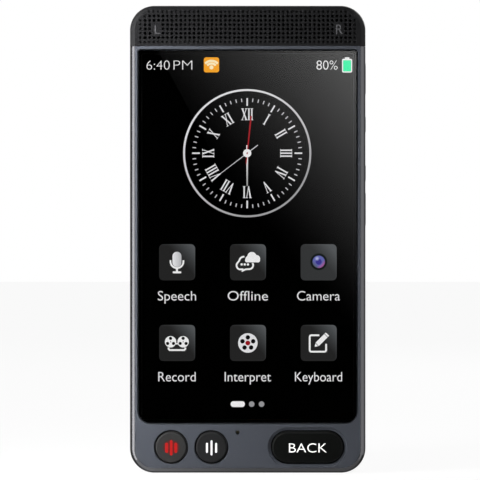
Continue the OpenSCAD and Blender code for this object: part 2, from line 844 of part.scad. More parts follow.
module speaker_contacts() {
    low = main_z - cable_t;
    color([0.85, 0.7, 0.4]) both_sides() for (x = spring_x) flat_cable(x, x + 1, [
        [spring_y[0], low], [spring_y[1], low], [spring_y[1] + 0.5, speaker_z[0] - cable_t],
        [spring_y[2], speaker_z[0] - cable_t], [spring_y[2], speaker_z[0]],
        [spring_y[1] + 0.4, speaker_z[0]], [spring_y[1] - 0.1, main_z], [spring_y[0], main_z]
    ]);
}

module grille_mesh() {
    color([0.06, 0.06, 0.06]) both_sides()
        block([rib_w / 2 + 0.1, cap_y + 0.4, face_in - mesh_t], [speaker_x[1], speaker_y[1], face_in]);
}

module microphones() {
    color([0.8, 0.75, 0.5]) {
        translate([mic_at[0] - mic_size[0] / 2, mic_at[1] - mic_size[1] / 2, lower_top]) cube(mic_size);
        translate([sound_x - mic_size[0] / 2, 2.5, lower_z - mic_size[2]]) cube(mic_size);
    }
}

module mic_boot() {
    color([0.1, 0.1, 0.1]) difference() {
        bore(mic_at, 1.2, [lower_top + mic_size[2], face_in]);
        bore(mic_at, 0.4, [0, body_t]);
    }
}

module wifi_antenna() {
    color([0.75, 0.45, 0.15])
        block([antenna_x[0], cap_y - 1, rear_in], [antenna_x[1], cap_y + 6.5, rear_in + antenna_t]);
}

// Front buttons
module talk_button(x) {
    translate([x, button_y, 0]) rotate_extrude() polygon([
        [0, flange_z], [talk_r + flange_out, flange_z], [talk_r + flange_out, flange_z + flange_t],
        [talk_r, flange_z + flange_t], [talk_r, button_top - button_chamfer],
        [talk_r - button_chamfer, button_top], [0, button_top]
    ]);
}

// Marks: rows of upright bars, each given as [place, width, height]
red_bars = [[-1.3, 1, 2.95], [0, 0.7, 4], [1.3, 1, 2.95]];
white_bars = [[-1.13, 0.6, 2.6], [0, 0.6, 4], [1.13, 0.6, 2.6]];

module bars(x, sizes, levels) {
    for (bar = sizes)
        translate([x + bar[0], button_y, 0]) rotate([0, 0, 90]) flat_pill(bar[2], bar[1], levels);
}

module red_talk_button() {
    color([0.21, 0.21, 0.21]) difference() {
        talk_button(red_x);
        bars(red_x, red_bars, [button_top - mark_t, button_top + cut]);
    }
}

module red_button_mark() {
    color([0.75, 0.08, 0.06]) bars(red_x, red_bars, [button_top - mark_t, button_top]);
}

module white_talk_button() {
    color([0.17, 0.17, 0.17]) difference() {
        talk_button(white_x);
        bars(white_x, white_bars, [button_top - mark_t, button_top + cut]);
    }
}

module white_button_mark() {
    color([0.95, 0.95, 0.95]) bars(white_x, white_bars, [button_top - mark_t, button_top]);
}

module back_button() {
    color([0.08, 0.08, 0.08]) translate([back_x, button_y, 0]) {
        pill(back_l, talk_d, [
            [0, flange_z], [0, button_top - button_chamfer], [button_chamfer, button_top]
        ]);
        flat_pill(back_l + 2 * flange_out, talk_d + 2 * flange_out - 0.1, [flange_z, flange_z + flange_t]);
    }
}

module plunger(x) {
    bore([x, button_y], plunger_r, [plunger_z, flange_z]);
}

module red_plunger() {
    color([0.9, 0.9, 0.88]) plunger(red_x);
}

module white_plunger() {
    color([0.9, 0.9, 0.88]) plunger(white_x);
}

module back_plunger() {
    color([0.9, 0.9, 0.88]) plunger(back_x);
}

module button_pad() {
    level = [switch_top, switch_top + sheet_t];
    color([0.5, 0.5, 0.52]) difference() {
        union() {
            block([red_x - 4.6, sheet_y[0], level[0]], [white_x + 4.4, sheet_y[1], level[1]]);
            block([back_x - 9, sheet_y[0], level[0]], [back_x + 9, sheet_y[1], level[1]]);
            block([red_x, sheet_y[0], level[0]], [back_x, sheet_y[0] + 1.4, level[1]]);
        }
        for (x = front_buttons) bore([x, button_y], plunger_r + 0.3, [0, body_t]);
    }
}

module front_switches() {
    color([0.2, 0.2, 0.22]) for (x = front_buttons) difference() {
        translate([x, button_y - switch_w / 2, 0])
            prism(switch_w, switch_w, switch_r, switch_r, [lower_top, switch_top]);
        bore([x, button_y], plunger_r + 0.1, [plunger_z - button_travel - 0.05, body_t]);
    }
}

// Side keys, drawn with z as the distance from the middle of the body
module side_key(y, l, flange_x) {
    top = body_w / 2 + side_proud;
    on_side(y, key_z) {
        pill(l, side_key_w, [[0, flange_x], [0, top - 0.15], [0.15, top]]);
        flat_pill(l + 2 * side_flange_out, side_key_w + 1.2, [flange_x, flange_x + side_flange_t]);
    }
}

module side_plunger(y, flange_x) {
    on_side(y, key_z) translate([0, 0, side_plunger_x])
        cylinder(r = side_plunger_r, h = flange_x - side_plunger_x);
}

module power_key() {
    color([0.28, 0.3, 0.34]) side_key(power_key_y, power_key_l, side_flange_x);
}

module power_plunger() {
    color([0.9, 0.9, 0.88]) side_plunger(power_key_y, side_flange_x);
}

module camera_key() {
    color([0.28, 0.3, 0.34]) side_key(camera_key_y, camera_key_l, side_flange_x);
}

module camera_plunger() {
    color([0.9, 0.9, 0.88]) side_plunger(camera_key_y, side_flange_x);
}

module volume_rocker() {
    middle = rocker_l / 2 - rocker_end;
    color([0.28, 0.3, 0.34]) difference() {
        union() {
            side_key(rocker_y, rocker_l, rocker_flange_x);
            block([pin_x - 0.7, rocker_y - 1, key_z - 1], [rocker_flange_x + join, rocker_y + 1, key_z + 1]);
        }
        block([body_w / 2 + side_proud - rocker_drop, rocker_y - middle, 0],
              [body_w / 2 + cut, rocker_y + middle, body_t]);
        bore([pin_x, rocker_y], pin_r + pin_clearance, [0, body_t]);
    }
}

module rocker_plungers() {
    color([0.9, 0.9, 0.88]) for (side = [-1, 1]) side_plunger(rocker_y + side * rocker_arm, rocker_flange_x);
}

module rocker_pin() {
    color([0.75, 0.76, 0.78]) bore([pin_x, rocker_y], pin_r, bracket_z);
}

module side_switches() {
    color([0.2, 0.2, 0.22]) for (y = side_switch_y) difference() {
        block([key_board_x, y - side_switch_l / 2, key_z - side_switch_w / 2],
              [side_switch_top, y + side_switch_l / 2, key_z + side_switch_w / 2]);
        on_side(y, key_z) translate([0, 0, side_switch_top - 0.7]) cylinder(r = side_plunger_r + 0.12, h = 2);
    }
}

module side_key_board() {
    color([0.75, 0.45, 0.15]) difference() {
        block([key_board_x - key_board_t, bracket_y[0], bracket_z[0]],
              [key_board_x, bracket_y[1], bracket_z[1]]);
        for (z = [bracket_z[0], bracket_z[1] - ear_t])
            block([0, rocker_y - 1.3, z - 0.1], [key_board_x + cut, rocker_y + 1.3, z + ear_t + 0.1]);
    }
}

module side_key_bracket() {
    low_x = key_board_x - key_board_t - bracket_t;
    color([0.6, 0.61, 0.63]) difference() {
        union() {
            block([low_x, bracket_y[0], bracket_z[0]], [low_x + bracket_t, bracket_y[1], bracket_z[1]]);
            for (z = [bracket_z[0], bracket_z[1] - ear_t])
                block([low_x, rocker_y - 1.2, z], [pin_x + 0.7, rocker_y + 1.2, z + ear_t]);
            for (y = foot_y)
                block([low_x - foot_l, y, bracket_z[1] - 0.1], [low_x + bracket_t, y + foot_w, plate_z]);
        }
        bore([pin_x, rocker_y], pin_r, [0, body_t]);
    }
}

stand() front_frame();
stand() speaker_cap();
stand() rear_cover();
stand() case_screws();
stand() cap_screws();
stand() camera_ring();
stand() camera_window();
stand() flash_lens();
stand() cover_glass();
stand() mask_film();
stand() glass_gasket();
stand() lcd_panel();
stand() backlight_unit();
stand() display_foam();
stand() display_flex();
stand() mid_plate();
stand() plate_screws();
stand() main_board();
stand() lower_board();
stand() board_screws();
stand() processor();
stand() memory_chip();
stand() shield_can();
stand() board_connectors();
stand() usb_socket();
stand() usb_tongue();
stand() link_flex();
stand() battery();
stand() battery_lead();
stand() left_speaker();
stand() right_speaker();
stand() speaker_diaphragms();
stand() speaker_gaskets();
stand() speaker_contacts();
stand() grille_mesh();
stand() microphones();
stand() mic_boot();
stand() camera_module();
stand() flash_led();
stand() wifi_antenna();
stand() red_talk_button();
stand() red_button_mark();
stand() red_plunger();
stand() white_talk_button();
stand() white_button_mark();
stand() white_plunger();
stand() back_button();
stand() back_plunger();
stand() button_pad();
stand() front_switches();
stand() power_key();
stand() power_plunger();
stand() volume_rocker();
stand() rocker_plungers();
stand() rocker_pin();
stand() camera_key();
stand() camera_plunger();
stand() side_switches();
stand() side_key_board();
stand() side_key_bracket();
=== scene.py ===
# %% [markdown]
# # A handheld translator, dressed
#
# The solids of this object stand in one frame that never moves: +Z is up, the display looks towards
# -Y, and the origin lies under the middle of the bottom edge. This lesson models the outer pieces
# again with finer edges, gives every piece a finish, and lights the whole like a studio picture.

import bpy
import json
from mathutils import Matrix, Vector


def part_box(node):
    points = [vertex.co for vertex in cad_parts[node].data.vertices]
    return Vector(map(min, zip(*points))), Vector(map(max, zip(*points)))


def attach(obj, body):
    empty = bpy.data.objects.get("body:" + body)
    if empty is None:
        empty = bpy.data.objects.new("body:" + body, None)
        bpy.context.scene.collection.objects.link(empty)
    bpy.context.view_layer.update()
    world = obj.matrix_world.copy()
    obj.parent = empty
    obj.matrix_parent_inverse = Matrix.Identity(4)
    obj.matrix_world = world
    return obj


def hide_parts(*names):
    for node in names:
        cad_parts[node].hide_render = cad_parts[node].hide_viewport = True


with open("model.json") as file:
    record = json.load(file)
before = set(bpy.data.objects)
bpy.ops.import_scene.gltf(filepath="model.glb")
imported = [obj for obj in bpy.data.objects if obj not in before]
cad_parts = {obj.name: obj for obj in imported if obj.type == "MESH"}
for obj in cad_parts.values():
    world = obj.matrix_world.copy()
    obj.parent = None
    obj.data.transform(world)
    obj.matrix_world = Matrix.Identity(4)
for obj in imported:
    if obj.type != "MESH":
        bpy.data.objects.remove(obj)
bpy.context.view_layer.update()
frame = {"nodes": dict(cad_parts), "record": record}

# %% [markdown]
# ## Sizes
#
# Blender works in metres, so every size below is a number of millimetres times `mm`. The main
# measures are read from the solids, and only what they don't tell is written down here.

# %% Sizes that several pieces share
import json
import math
from contextlib import contextmanager

import bmesh
import bpy
from mathutils import Matrix, Vector

mm = 0.001
FRONT, BACK = Vector((0, -1, 0)), Vector((0, 1, 0))
LEFT, RIGHT = Vector((-1, 0, 0)), Vector((1, 0, 0))
DOWN, UP = Vector((0, 0, -1)), Vector((0, 0, 1))

frame_low, frame_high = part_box("front_frame")
cover_low, cover_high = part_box("rear_cover")
body_w = frame_high.x - frame_low.x
body_h = cover_high.z
face_y = frame_low.y                 # front face
parting_y = frame_high.y             # where the frame meets the rear cover
seam_z = frame_high.z                # where the frame meets the speaker cap
wall = 1.6 * mm
face_t = 1.2 * mm
inner_w = body_w - 2 * wall
corner_r = 6 * mm
inner_r = corner_r - wall
over = 0.1 * mm                      # how far a cutter runs past a face
print(f"body {body_w / mm:.1f} x {body_h / mm:.1f} mm, seam at {seam_z / mm:.1f} mm")

# %% [markdown]
# ## Working in edit mode
#
# An operator acts on whatever is selected. A script has no mouse, so a few small helpers stand in
# for it: one selects objects, one opens a piece in edit mode, and two select faces or edges in it.

# %% Selecting and editing
def only(*pieces):
    """Selects these pieces and nothing else."""
    bpy.ops.object.select_all(action="DESELECT")
    for piece in pieces:
        piece.select_set(True)
    if pieces:
        bpy.context.view_layer.objects.active = pieces[0]


@contextmanager
def editing(piece, kind="FACE"):
    """Opens a piece in edit mode for as long as the with block lasts."""
    only(piece)
    bpy.ops.object.mode_set(mode="EDIT")
    bpy.ops.mesh.select_mode(type=kind)
    bpy.ops.mesh.select_all(action="DESELECT")
    yield
    bpy.ops.object.mode_set(mode="OBJECT")


def pick(piece, kind, test):
    """Adds the faces or edges that pass a test to the selection."""
    shape = bmesh.from_edit_mesh(piece.data)
    for part in [part for part in getattr(shape, kind) if test(part)]:
        part.select_set(True)
    bmesh.update_edit_mesh(piece.data)


def pick_end(piece, direction):
    """Adds the flat end of a piece that looks in a direction."""
    shape = bmesh.from_edit_mesh(piece.data)
    reach = max(vert.co.dot(direction) for vert in shape.verts)
    pick(piece, "faces", lambda face: face.normal.dot(direction) > 0.99
         and face.calc_center_median().dot(direction) > reach - 0.001 * mm)

# %% [markdown]
# ## Plates with round corners
#
# Nearly everything on this body is a plate with round corners: shell, window, glass and keys. Each
# starts as a box, and the bevel tool rounds the edges that run front to back. A pill is the same
# plate with corners of half its height, whose last sliver of straight edge is merged away.

# %% Plates
def settle(piece, name):
    """Names a fresh primitive and puts its place into its mesh."""
    piece.name = piece.data.name = name
    only(piece)
    bpy.ops.object.transform_apply(location=True, rotation=True, scale=True)
    return piece


def block(name, low, high):
    """A box between two corners."""
    low, high = Vector(low), Vector(high)
    only()
    bpy.ops.mesh.primitive_cube_add(size=1, location=(low + high) / 2, scale=high - low)
    return settle(bpy.context.object, name)


def tidy(piece, gap=0.0005 * mm):
    """Merges doubled points and turns every face outwards."""
    with editing(piece):
        bpy.ops.mesh.select_all(action="SELECT")
        bpy.ops.mesh.remove_doubles(threshold=gap)
        bpy.ops.mesh.normals_make_consistent(inside=False)
    return piece


def round_corners(piece, radius, test, steps):
    """Rounds the edges that run front to back and pass a test."""
    def is_corner(edge):
        across = edge.verts[0].co - edge.verts[1].co
        return abs(across.normalized().y) > 0.99 and test(edge.verts[0].co)

    if radius > 0:
        with editing(piece, "EDGE"):
            pick(piece, "edges", is_corner)
            bpy.ops.mesh.bevel(offset=radius, segments=steps, affect="EDGES")


def plate(name, width, height, front, back, low_r, top_r=None, steps=12):
    """A plate centred on the Y axis, from y = front to y = back, with round corners."""
    piece = block(name, (-width / 2, front, -height / 2), (width / 2, back, height / 2))
    most = 0.4999 * min(width, height)
    if top_r is None:
        round_corners(piece, min(low_r, most), lambda at: True, steps)
    else:
        round_corners(piece, low_r, lambda at: at.z < 0, steps)
        round_corners(piece, top_r, lambda at: at.z > 0, steps)
    return tidy(piece, 0.002 * mm)

# %% [markdown]
# ## Edge profiles
#
# A moulder draws the edge of a part as a profile: so far in, so far out. `arc` and `slope` give the
# points of such a profile and `chain` joins them. `step_out` then carries an end face along it with
# the inset tool, one ring of faces for each step.

# %% Profiles
def arc(radius, start, end, steps):
    """A round that turns from one angle to another: 0 follows the wall, 90 lies flat."""
    first, last = math.radians(start), math.radians(end)
    turns = [first + (last - first) * i / steps for i in range(steps + 1)]
    return [(radius * (math.cos(first) - math.cos(turn)),
             radius * (math.sin(turn) - math.sin(first))) for turn in turns]


def slope(inward, rise):
    return [(0, 0), (inward, rise)]


def chain(*runs):
    """Joins runs of (inset, rise) points end to end."""
    points = [(0, 0)]
    for run in runs:
        start = points[-1]
        points += [(start[0] + inward, start[1] + rise) for inward, rise in run[1:]]
    return points


def step_out(piece, direction, profile):
    """Carries the end face that looks in a direction along a profile."""
    with editing(piece):
        pick_end(piece, direction)
        for start, end in zip(profile, profile[1:]):
            bpy.ops.mesh.inset(thickness=end[0] - start[0], depth=end[1] - start[1])
    return piece

# %% [markdown]
# ## Turned pieces
#
# Buttons, lenses, screws and the cutters for round holes are turned parts. A disc is added, then
# extruded and resized from one [radius, depth] point of the profile to the next.

# %% Turning
def turned(name, profile, sides=64):
    """A turned piece round the Y axis, given from its front end as (radius, y) points."""
    only()
    bpy.ops.mesh.primitive_circle_add(vertices=sides, radius=profile[0][0], fill_type="NGON",
                                      location=BACK * profile[0][1], rotation=(math.pi / 2, 0, 0))
    piece = settle(bpy.context.object, name)
    with editing(piece):
        bpy.ops.mesh.select_all(action="SELECT")
        for (last_r, last_y), (radius, y) in zip(profile, profile[1:]):
            bpy.ops.mesh.extrude_region_move(TRANSFORM_OT_translate={"value": BACK * (y - last_y)})
            bpy.ops.transform.resize(value=(radius / last_r,) * 3, center_override=BACK * y)
    return tidy(piece)

# %% [markdown]
# ## Placing, copying, cutting
#
# Each shape is made facing the front at the origin. `place` turns it to the side it belongs on and
# moves it there, always in its mesh, so that the object itself stays at the origin.

# %% Placing and copying
TURNS = {"front": Matrix.Identity(4), "right": Matrix.Rotation(math.radians(90), 4, "Z"),
         "back": Matrix.Rotation(math.radians(180), 4, "Z"),
         "bottom": Matrix.Rotation(math.radians(90), 4, "X")}


def place(piece, at, side="front"):
    """Turns a piece that faces the front to another side, and moves its origin to a point."""
    piece.data.transform(Matrix.Translation(Vector(at)) @ TURNS[side])
    return piece


def merge(name, pieces):
    """Joins several pieces into one."""
    only(*pieces)
    bpy.ops.object.join()
    pieces[0].name = pieces[0].data.name = name
    return pieces[0]


def copies(name, piece, moves):
    """One piece made of a copy of the first for each move, a matrix. The first is used up."""
    made = []
    for move in moves:
        copy = piece.copy()
        copy.data = piece.data.copy()
        copy.data.transform(move)
        bpy.context.collection.objects.link(copy)
        made.append(copy)
    bpy.data.objects.remove(piece)
    return merge(name, made)


def shifts(points):
    return [Matrix.Translation(Vector(point)) for point in points]

# %% [markdown]
# A hole is best cut with a cutter that widens where it leaves the face: the rim then gets a small
# chamfer that catches the light, with no bevel to go wrong afterwards.

# %% Cutting
def combine(piece, other, how):
    """Applies one exact boolean and throws the other piece away."""
    step = piece.modifiers.new("step", "BOOLEAN")
    step.operation = how
    step.object = other
    only(piece)
    bpy.ops.object.modifier_apply(modifier=step.name)
    bpy.data.objects.remove(other)
    return piece


def cut(piece, *cutters):
    """Takes the space of some cutters out of a piece."""
    for cutter in cutters:
        combine(piece, cutter, "DIFFERENCE")
    return piece


def opening(width, height, low_r, top_r=None, depth=2 * mm, flare=0.1 * mm, run=None):
    """A cutter for a round-cornered opening in a face at y = 0 that goes in towards +Y."""
    run = run or slope(flare, flare)
    wide, deep = run[-1]
    reach = wide + over
    outer_low = low_r + reach
    outer_top = None if top_r is None else top_r + reach
    cutter = plate("cutter", width + 2 * reach, height + 2 * reach, -1 * mm, -over,
                   outer_low, outer_top)
    lead = [(0, 0), (over, over)]
    return step_out(cutter, BACK, chain(lead, run, slope(0, depth - deep)))


def bore(radius, depth, flare=0.1 * mm, sides=32):
    """A cutter for a round hole in a face at y = 0."""
    return turned("cutter", [(radius + flare + over, -1 * mm), (radius + flare + over, -over),
                             (radius, flare), (radius, depth)], sides)


def smooth(piece, angle=32):
    """Shades the curves smooth, keeps the edges crisp and lets the broad faces lead."""
    only(piece)
    bpy.ops.object.shade_smooth_by_angle(angle=math.radians(angle))
    lead = piece.modifiers.new("lead", "WEIGHTED_NORMAL")
    lead.keep_sharp = True
    bpy.ops.object.modifier_apply(modifier=lead.name)
    return piece

# %% [markdown]
# ## Shader maths
#
# A finish is a sum: a base colour, plus a little of this noise, less a little of that. Nodes can
# say it, and Python can say it shorter. `Signal` wraps the output of a node, and its operators add
# the Math nodes. `Finish` holds the material and adds any other node.

# %% Signals and finishes
def operator(operation, swapped=False):
    """One operator of a Signal, which adds one Math node."""
    def apply(self, other):
        return self.maths(operation, *((other, self) if swapped else (self, other)))
    return apply


class Signal:
    """The output of a node, ready for sums."""

    __add__, __radd__ = operator("ADD"), operator("ADD", True)
    __sub__, __rsub__ = operator("SUBTRACT"), operator("SUBTRACT", True)
    __mul__, __rmul__ = operator("MULTIPLY"), operator("MULTIPLY", True)
    __truediv__, __pow__ = operator("DIVIDE"), operator("POWER")
    __gt__, __lt__ = operator("GREATER_THAN"), operator("LESS_THAN")
    at_least, at_most = operator("MAXIMUM"), operator("MINIMUM")

    def __init__(self, finish, socket):
        self.finish = finish
        self.socket = socket

    def maths(self, operation, *values):
        inputs = dict(enumerate(values))
        return self.finish.node("ShaderNodeMath", {"operation": operation}, inputs)

    def share(self):
        """The same number, held between 0 and 1."""
        return self.at_least(0).at_most(1)

    def size(self):
        return self.maths("ABSOLUTE", self)

    def wave(self):
        return self.maths("SINE", self)

    def wrap(self, pitch):
        """The same number, which repeats from -pitch / 2 to pitch / 2."""
        return self.maths("WRAP", self, pitch / 2, -pitch / 2)


class Finish:
    """A material in the making."""

    def __init__(self, name, **constants):
        self.material = bpy.data.materials.new(name)
        self.material.use_nodes = True
        self.tree = self.material.node_tree
        self.shader = self.tree.nodes["Principled BSDF"]
        for socket, value in constants.items():
            self.set(socket.replace("_", " "), value)

    def node(self, kind, settings=None, inputs=None, output=0):
        """Adds a node: its settings first, then the values or links of its sockets."""
        made = self.tree.nodes.new(kind)
        for name, value in (settings or {}).items():
            if name == "stops":
                for stop, (place_on_ramp, colour) in zip(made.color_ramp.elements, value):
                    stop.position = place_on_ramp
                    stop.color = colour
            else:
                setattr(made, name, value)
        for name, value in (inputs or {}).items():
            self.feed(made.inputs[name], value)
        return Signal(self, made.outputs[output])

    def feed(self, socket, value):
        if isinstance(value, Signal):
            self.tree.links.new(value.socket, socket)
        else:
            socket.default_value = value

    def set(self, name, value):
        """Sets or links one socket of the main shader."""
        self.feed(self.shader.inputs[name], value)

    def place(self):
        """Where a point of the piece lies in the frame, in metres."""
        return self.node("ShaderNodeTexCoord", output="Object")

    def axes(self):
        """The same place as three numbers."""
        split = self.node("ShaderNodeSeparateXYZ", inputs={0: self.place()})
        outputs = split.socket.node.outputs
        return [Signal(self, outputs[i]) for i in range(3)]

    def noise(self, size, detail=2.0, stretch=(1, 1, 1)):
        """Noise from 0 to 1 whose features measure about size."""
        scaled = self.node("ShaderNodeMapping", inputs={"Vector": self.place(), "Scale": stretch})
        return self.node("ShaderNodeTexNoise", inputs={"Vector": scaled, "Scale": 1 / size,
                                                       "Detail": detail})

    def blend(self, factor, low, high):
        """A colour between two others."""
        return self.node("ShaderNodeMix", {"data_type": "RGBA", "clamp_factor": True},
                         {0: factor, 6: low, 7: high}, output=2)

    def mottle(self, shade, colour, low, high):
        """A colour that a signal makes darker or lighter."""
        return self.blend(shade, tint(colour, low), tint(colour, high))

    def bump(self, height, distance):
        self.set("Normal", self.node("ShaderNodeBump", inputs={
            "Height": height, "Distance": distance, "Strength": 1.0}))


def paint(red, green, blue):
    """A colour given in the usual steps from 0 to 255, as the shader wants it."""
    def linear(step):
        share = step / 255
        return share / 12.92 if share <= 0.04045 else ((share + 0.055) / 1.055) ** 2.4
    return (linear(red), linear(green), linear(blue), 1)


def tint(colour, by):
    """A colour made lighter or darker."""
    return tuple(min(1, part * by) for part in colour[:3]) + (1,)


def span_of(across, up):
    """The length of a step that goes so far across and so far up."""
    return (across ** 2 + up ** 2) ** 0.5

# %% [markdown]
# ## Families of finishes
#
# A body like this holds a few families of surface, and each member differs only by its numbers.
# Moulded plastic has a fine spark-eroded grain and a slow change of gloss. Sprayed or anodised
# metal glitters a little, and where it was cut again afterwards it is bare and bright. Bare metal
# carries the lines of the tool that cut it.

# %% Moulded plastic
def moulded(name, colour, roughness=0.5, grain=0.12 * mm, depth=0.004 * mm, spread=0.12,
            **constants):
    """Plastic from a textured mould: a grain in its surface and slow clouds in its gloss."""
    made = Finish(name, **constants)
    clouds = made.noise(9 * mm)
    fine = made.noise(grain, 3.0)
    made.set("Base Color", made.mottle(clouds * 0.5 + fine * 0.5, colour, 1 - spread, 1 + spread))
    made.set("Roughness", roughness - 0.06 + clouds * 0.08 + fine * 0.04)
    made.bump(fine, depth)
    return made


# %% Coated metal
def coated_metal(name, colour, roughness=0.4, metallic=0.6, spread=0.1, polished=None):
    """Metal under a satin coat: grains of pigment, and a gloss that clouds slightly. Where
    polished says 1, the coat is cut away and bare metal of another gloss shows."""
    made = Finish(name)
    pigment = made.noise(0.14 * mm, 4.0)
    clouds = made.noise(14 * mm)
    shade = pigment * 0.7 + clouds * 0.3
    base = made.blend(shade, tint(colour, 1 - spread), tint(colour, 1 + spread))
    rough = roughness - 0.05 + clouds * 0.06 + pigment * 0.05
    metal = metallic
    if polished:
        cut_edge, gloss = polished(made)
        base = made.blend(cut_edge, base, paint(122, 122, 125))
        rough = rough + cut_edge * (gloss - roughness)
        metal = metallic + cut_edge * (1 - metallic)
    for socket, value in (("Base Color", base), ("Metallic", metal), ("Roughness", rough)):
        made.set(socket, value)
    made.bump(pigment, 0.0015 * mm)
    return made


# %% Bare metal
def bare_metal(name, colour, roughness=0.3, stretch=(1, 1, 30)):
    """Bare metal with fine lines along one axis."""
    made = Finish(name, Metallic=1.0)
    lines = made.noise(2 * mm, 3.0, stretch)
    clouds = made.noise(6 * mm)
    made.set("Base Color", made.mottle(lines * 0.6 + clouds * 0.4, colour, 0.86, 1.1))
    made.set("Roughness", roughness - 0.08 + lines * 0.16)
    made.bump(lines, 0.002 * mm)
    return made


# %% Glowing display colours
def dark_glow(name):
    """A black that doesn't shine, for figures that only glow."""
    return Finish(name, Base_Color=(0, 0, 0, 1), Roughness=0.8, Specular_IOR_Level=0.0,
                  Emission_Strength=1.0)


def glowing(name, colour):
    """One colour of the display. Its faint pixel rows dim it a little."""
    made = dark_glow(name)
    x, _, z = made.axes()
    pitch = 0.18 * mm
    rows = (x / pitch).wave() * (z / pitch).wave()
    made.set("Emission Color", made.blend(rows * 0.5 + 0.5, tint(colour, 0.97), colour))
    return made

# %% [markdown]
# ## The outer form
#
# The frame and the speaker cap share one outer form, so it is modelled once for each and then cut
# at the seam. Its edge rises as a round of 1.7 mm, turns into a chamfer that is crowned by ten
# degrees, and ends in a very small round at the face. The crown draws a bright line along the
# chamfer, because only its middle faces the light beside the body.

# %% The shared outer form
edge_r, crown_r, soft_r = 1.7 * mm, 7 * mm, 0.05 * mm
crown_from, crown_to = 40, 50        # angles of the crowned chamfer
front_edge = chain(arc(edge_r, 0, crown_from, 8), arc(crown_r, crown_from, crown_to, 5),
                   arc(soft_r, crown_to, 90, 3))
edge_in, edge_rise = front_edge[-1]


def outer_form(name):
    """The rounded form from the parting line to the face, over the whole height."""
    form = plate(name, body_w, body_h, face_y + edge_rise, parting_y, corner_r, steps=20)
    place(form, UP * body_h / 2)
    return step_out(form, FRONT, front_edge)


def cut_at_seam(form, keep):
    """Keeps the part of a form above or below the seam, and softens the new edge."""
    seam_r = 0.07 * mm
    side = UP if keep == "below" else DOWN
    with editing(form):
        bpy.ops.mesh.select_all(action="SELECT")
        bpy.ops.mesh.bisect(plane_co=UP * seam_z - side * seam_r, plane_no=side,
                            use_fill=True, clear_outer=True)
    step_out(form, side, slope(seam_r, seam_r))
    return form


frame_bezel = cut_at_seam(outer_form("frame_bezel"), "below")
cap_shell = cut_at_seam(outer_form("cap_shell"), "above")
print("outer forms:", len(frame_bezel.data.polygons), "and", len(cap_shell.data.polygons), "faces")

# %% [markdown]
# ## The frame
#
# The frame is milled from one piece of metal. It is hollow behind, carries the glass on a ledge,
# and has a hole for each button, a slot for each side key, and in its bottom edge the socket, five
# sound holes and an eye for a wrist strap. Each cutter has round corners and is turned to its side.

# %% Hollow the frame and cut the window
glass_low, glass_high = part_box("cover_glass")
glass_gap = 0.3 * mm
window_w = glass_high.x - glass_low.x + 2 * glass_gap
window_h = glass_high.z - glass_low.z + 2 * glass_gap
window_z = (glass_low.z + glass_high.z) / 2
window_low = window_z - window_h / 2
window_high = window_z + window_h / 2
window_r, window_top_r = 3.3 * mm, 0.9 * mm
ledge_w = 1 * mm
face_in = face_y + face_t
ledge_back = face_in + 1 * mm


def cavity(low_z, high_z, front, back, low_r, top_r, width=inner_w):
    """A cutter for a hollow between two heights."""
    cutter = plate("cutter", width, high_z - low_z, front, back, low_r, top_r)
    return place(cutter, UP * (low_z + high_z) / 2)


cut(frame_bezel,
    cavity(wall, window_high, ledge_back, parting_y + 1 * mm, inner_r, 0),
    cavity(wall, window_low - 0.8 * mm, face_in, ledge_back + over, inner_r, 0),
    cavity(window_low + ledge_w, window_high - ledge_w, face_y, parting_y, 0.5 * mm, 0.5 * mm,
           window_w - 2 * ledge_w),
    place(opening(window_w, window_h, window_r, window_top_r, face_t, 0.03 * mm),
          (0, face_y, window_z)))
print("window", round(window_w / mm, 2), "x", round(window_h / mm, 2), "mm")

# %% Holes for the front buttons
def centre(node):
    low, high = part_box(node)
    return (low + high) / 2


flange_out = 0.75 * mm
red_at, white_at, back_at = (centre(node) for node in
                             ("red_talk_button", "white_talk_button", "back_button"))
talk_low, talk_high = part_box("red_talk_button")
talk_r = (talk_high.x - talk_low.x) / 2 - flange_out
talk_top = talk_low.y
flange_back = talk_high.y
pill_low, pill_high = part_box("back_button")
pill_l = pill_high.x - pill_low.x - 2 * flange_out
button_gap = 0.32 * mm
dish_wall = slope(0.14 * mm, 0.3 * mm)
dish_floor = slope(0.56 * mm, 0.14 * mm)
mic_at = centre("mic_boot")

talk_hole_r = talk_r + button_gap
talk_cut = bore(talk_hole_r, 2 * mm, 0.15 * mm, 96)
talk_holes = copies("cutter", talk_cut,
                    shifts([(at.x, face_y, at.z) for at in (red_at, white_at)]))
dish = opening(pill_l + 2 * button_gap, 2 * talk_r + 2 * button_gap, talk_hole_r,
               run=chain(dish_wall, dish_floor))
mic_hole = bore(0.47 * mm, 2 * mm, 0.01 * mm)
cut(frame_bezel, talk_holes, place(dish, (back_at.x, face_y, back_at.z)),
    place(mic_hole, (mic_at.x, face_y, mic_at.z)))
print("button holes cut, radius", round(talk_hole_r / mm, 2), "mm")

# %% Slots for the side keys
side_flange_out = 0.8 * mm
side_key_w = 2.4 * mm
slot_gap = 0.1 * mm
side_keys = {}
for node in ("power_key", "volume_rocker", "camera_key"):
    low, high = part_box(node)
    length = high.z - low.z - 2 * side_flange_out
    at = Vector((high.x, (low.y + high.y) / 2, (low.z + high.z) / 2))
    side_keys[node] = (at, length)
    slot = opening(side_key_w + 2 * slot_gap, length + 2 * slot_gap + 0.1 * mm, side_key_w,
                   depth=3 * mm, flare=0.08 * mm)
    cut(frame_bezel, place(slot, (frame_high.x, at.y, at.z), "right"))
    print(node, "slot", round(length / mm, 1), "mm long")

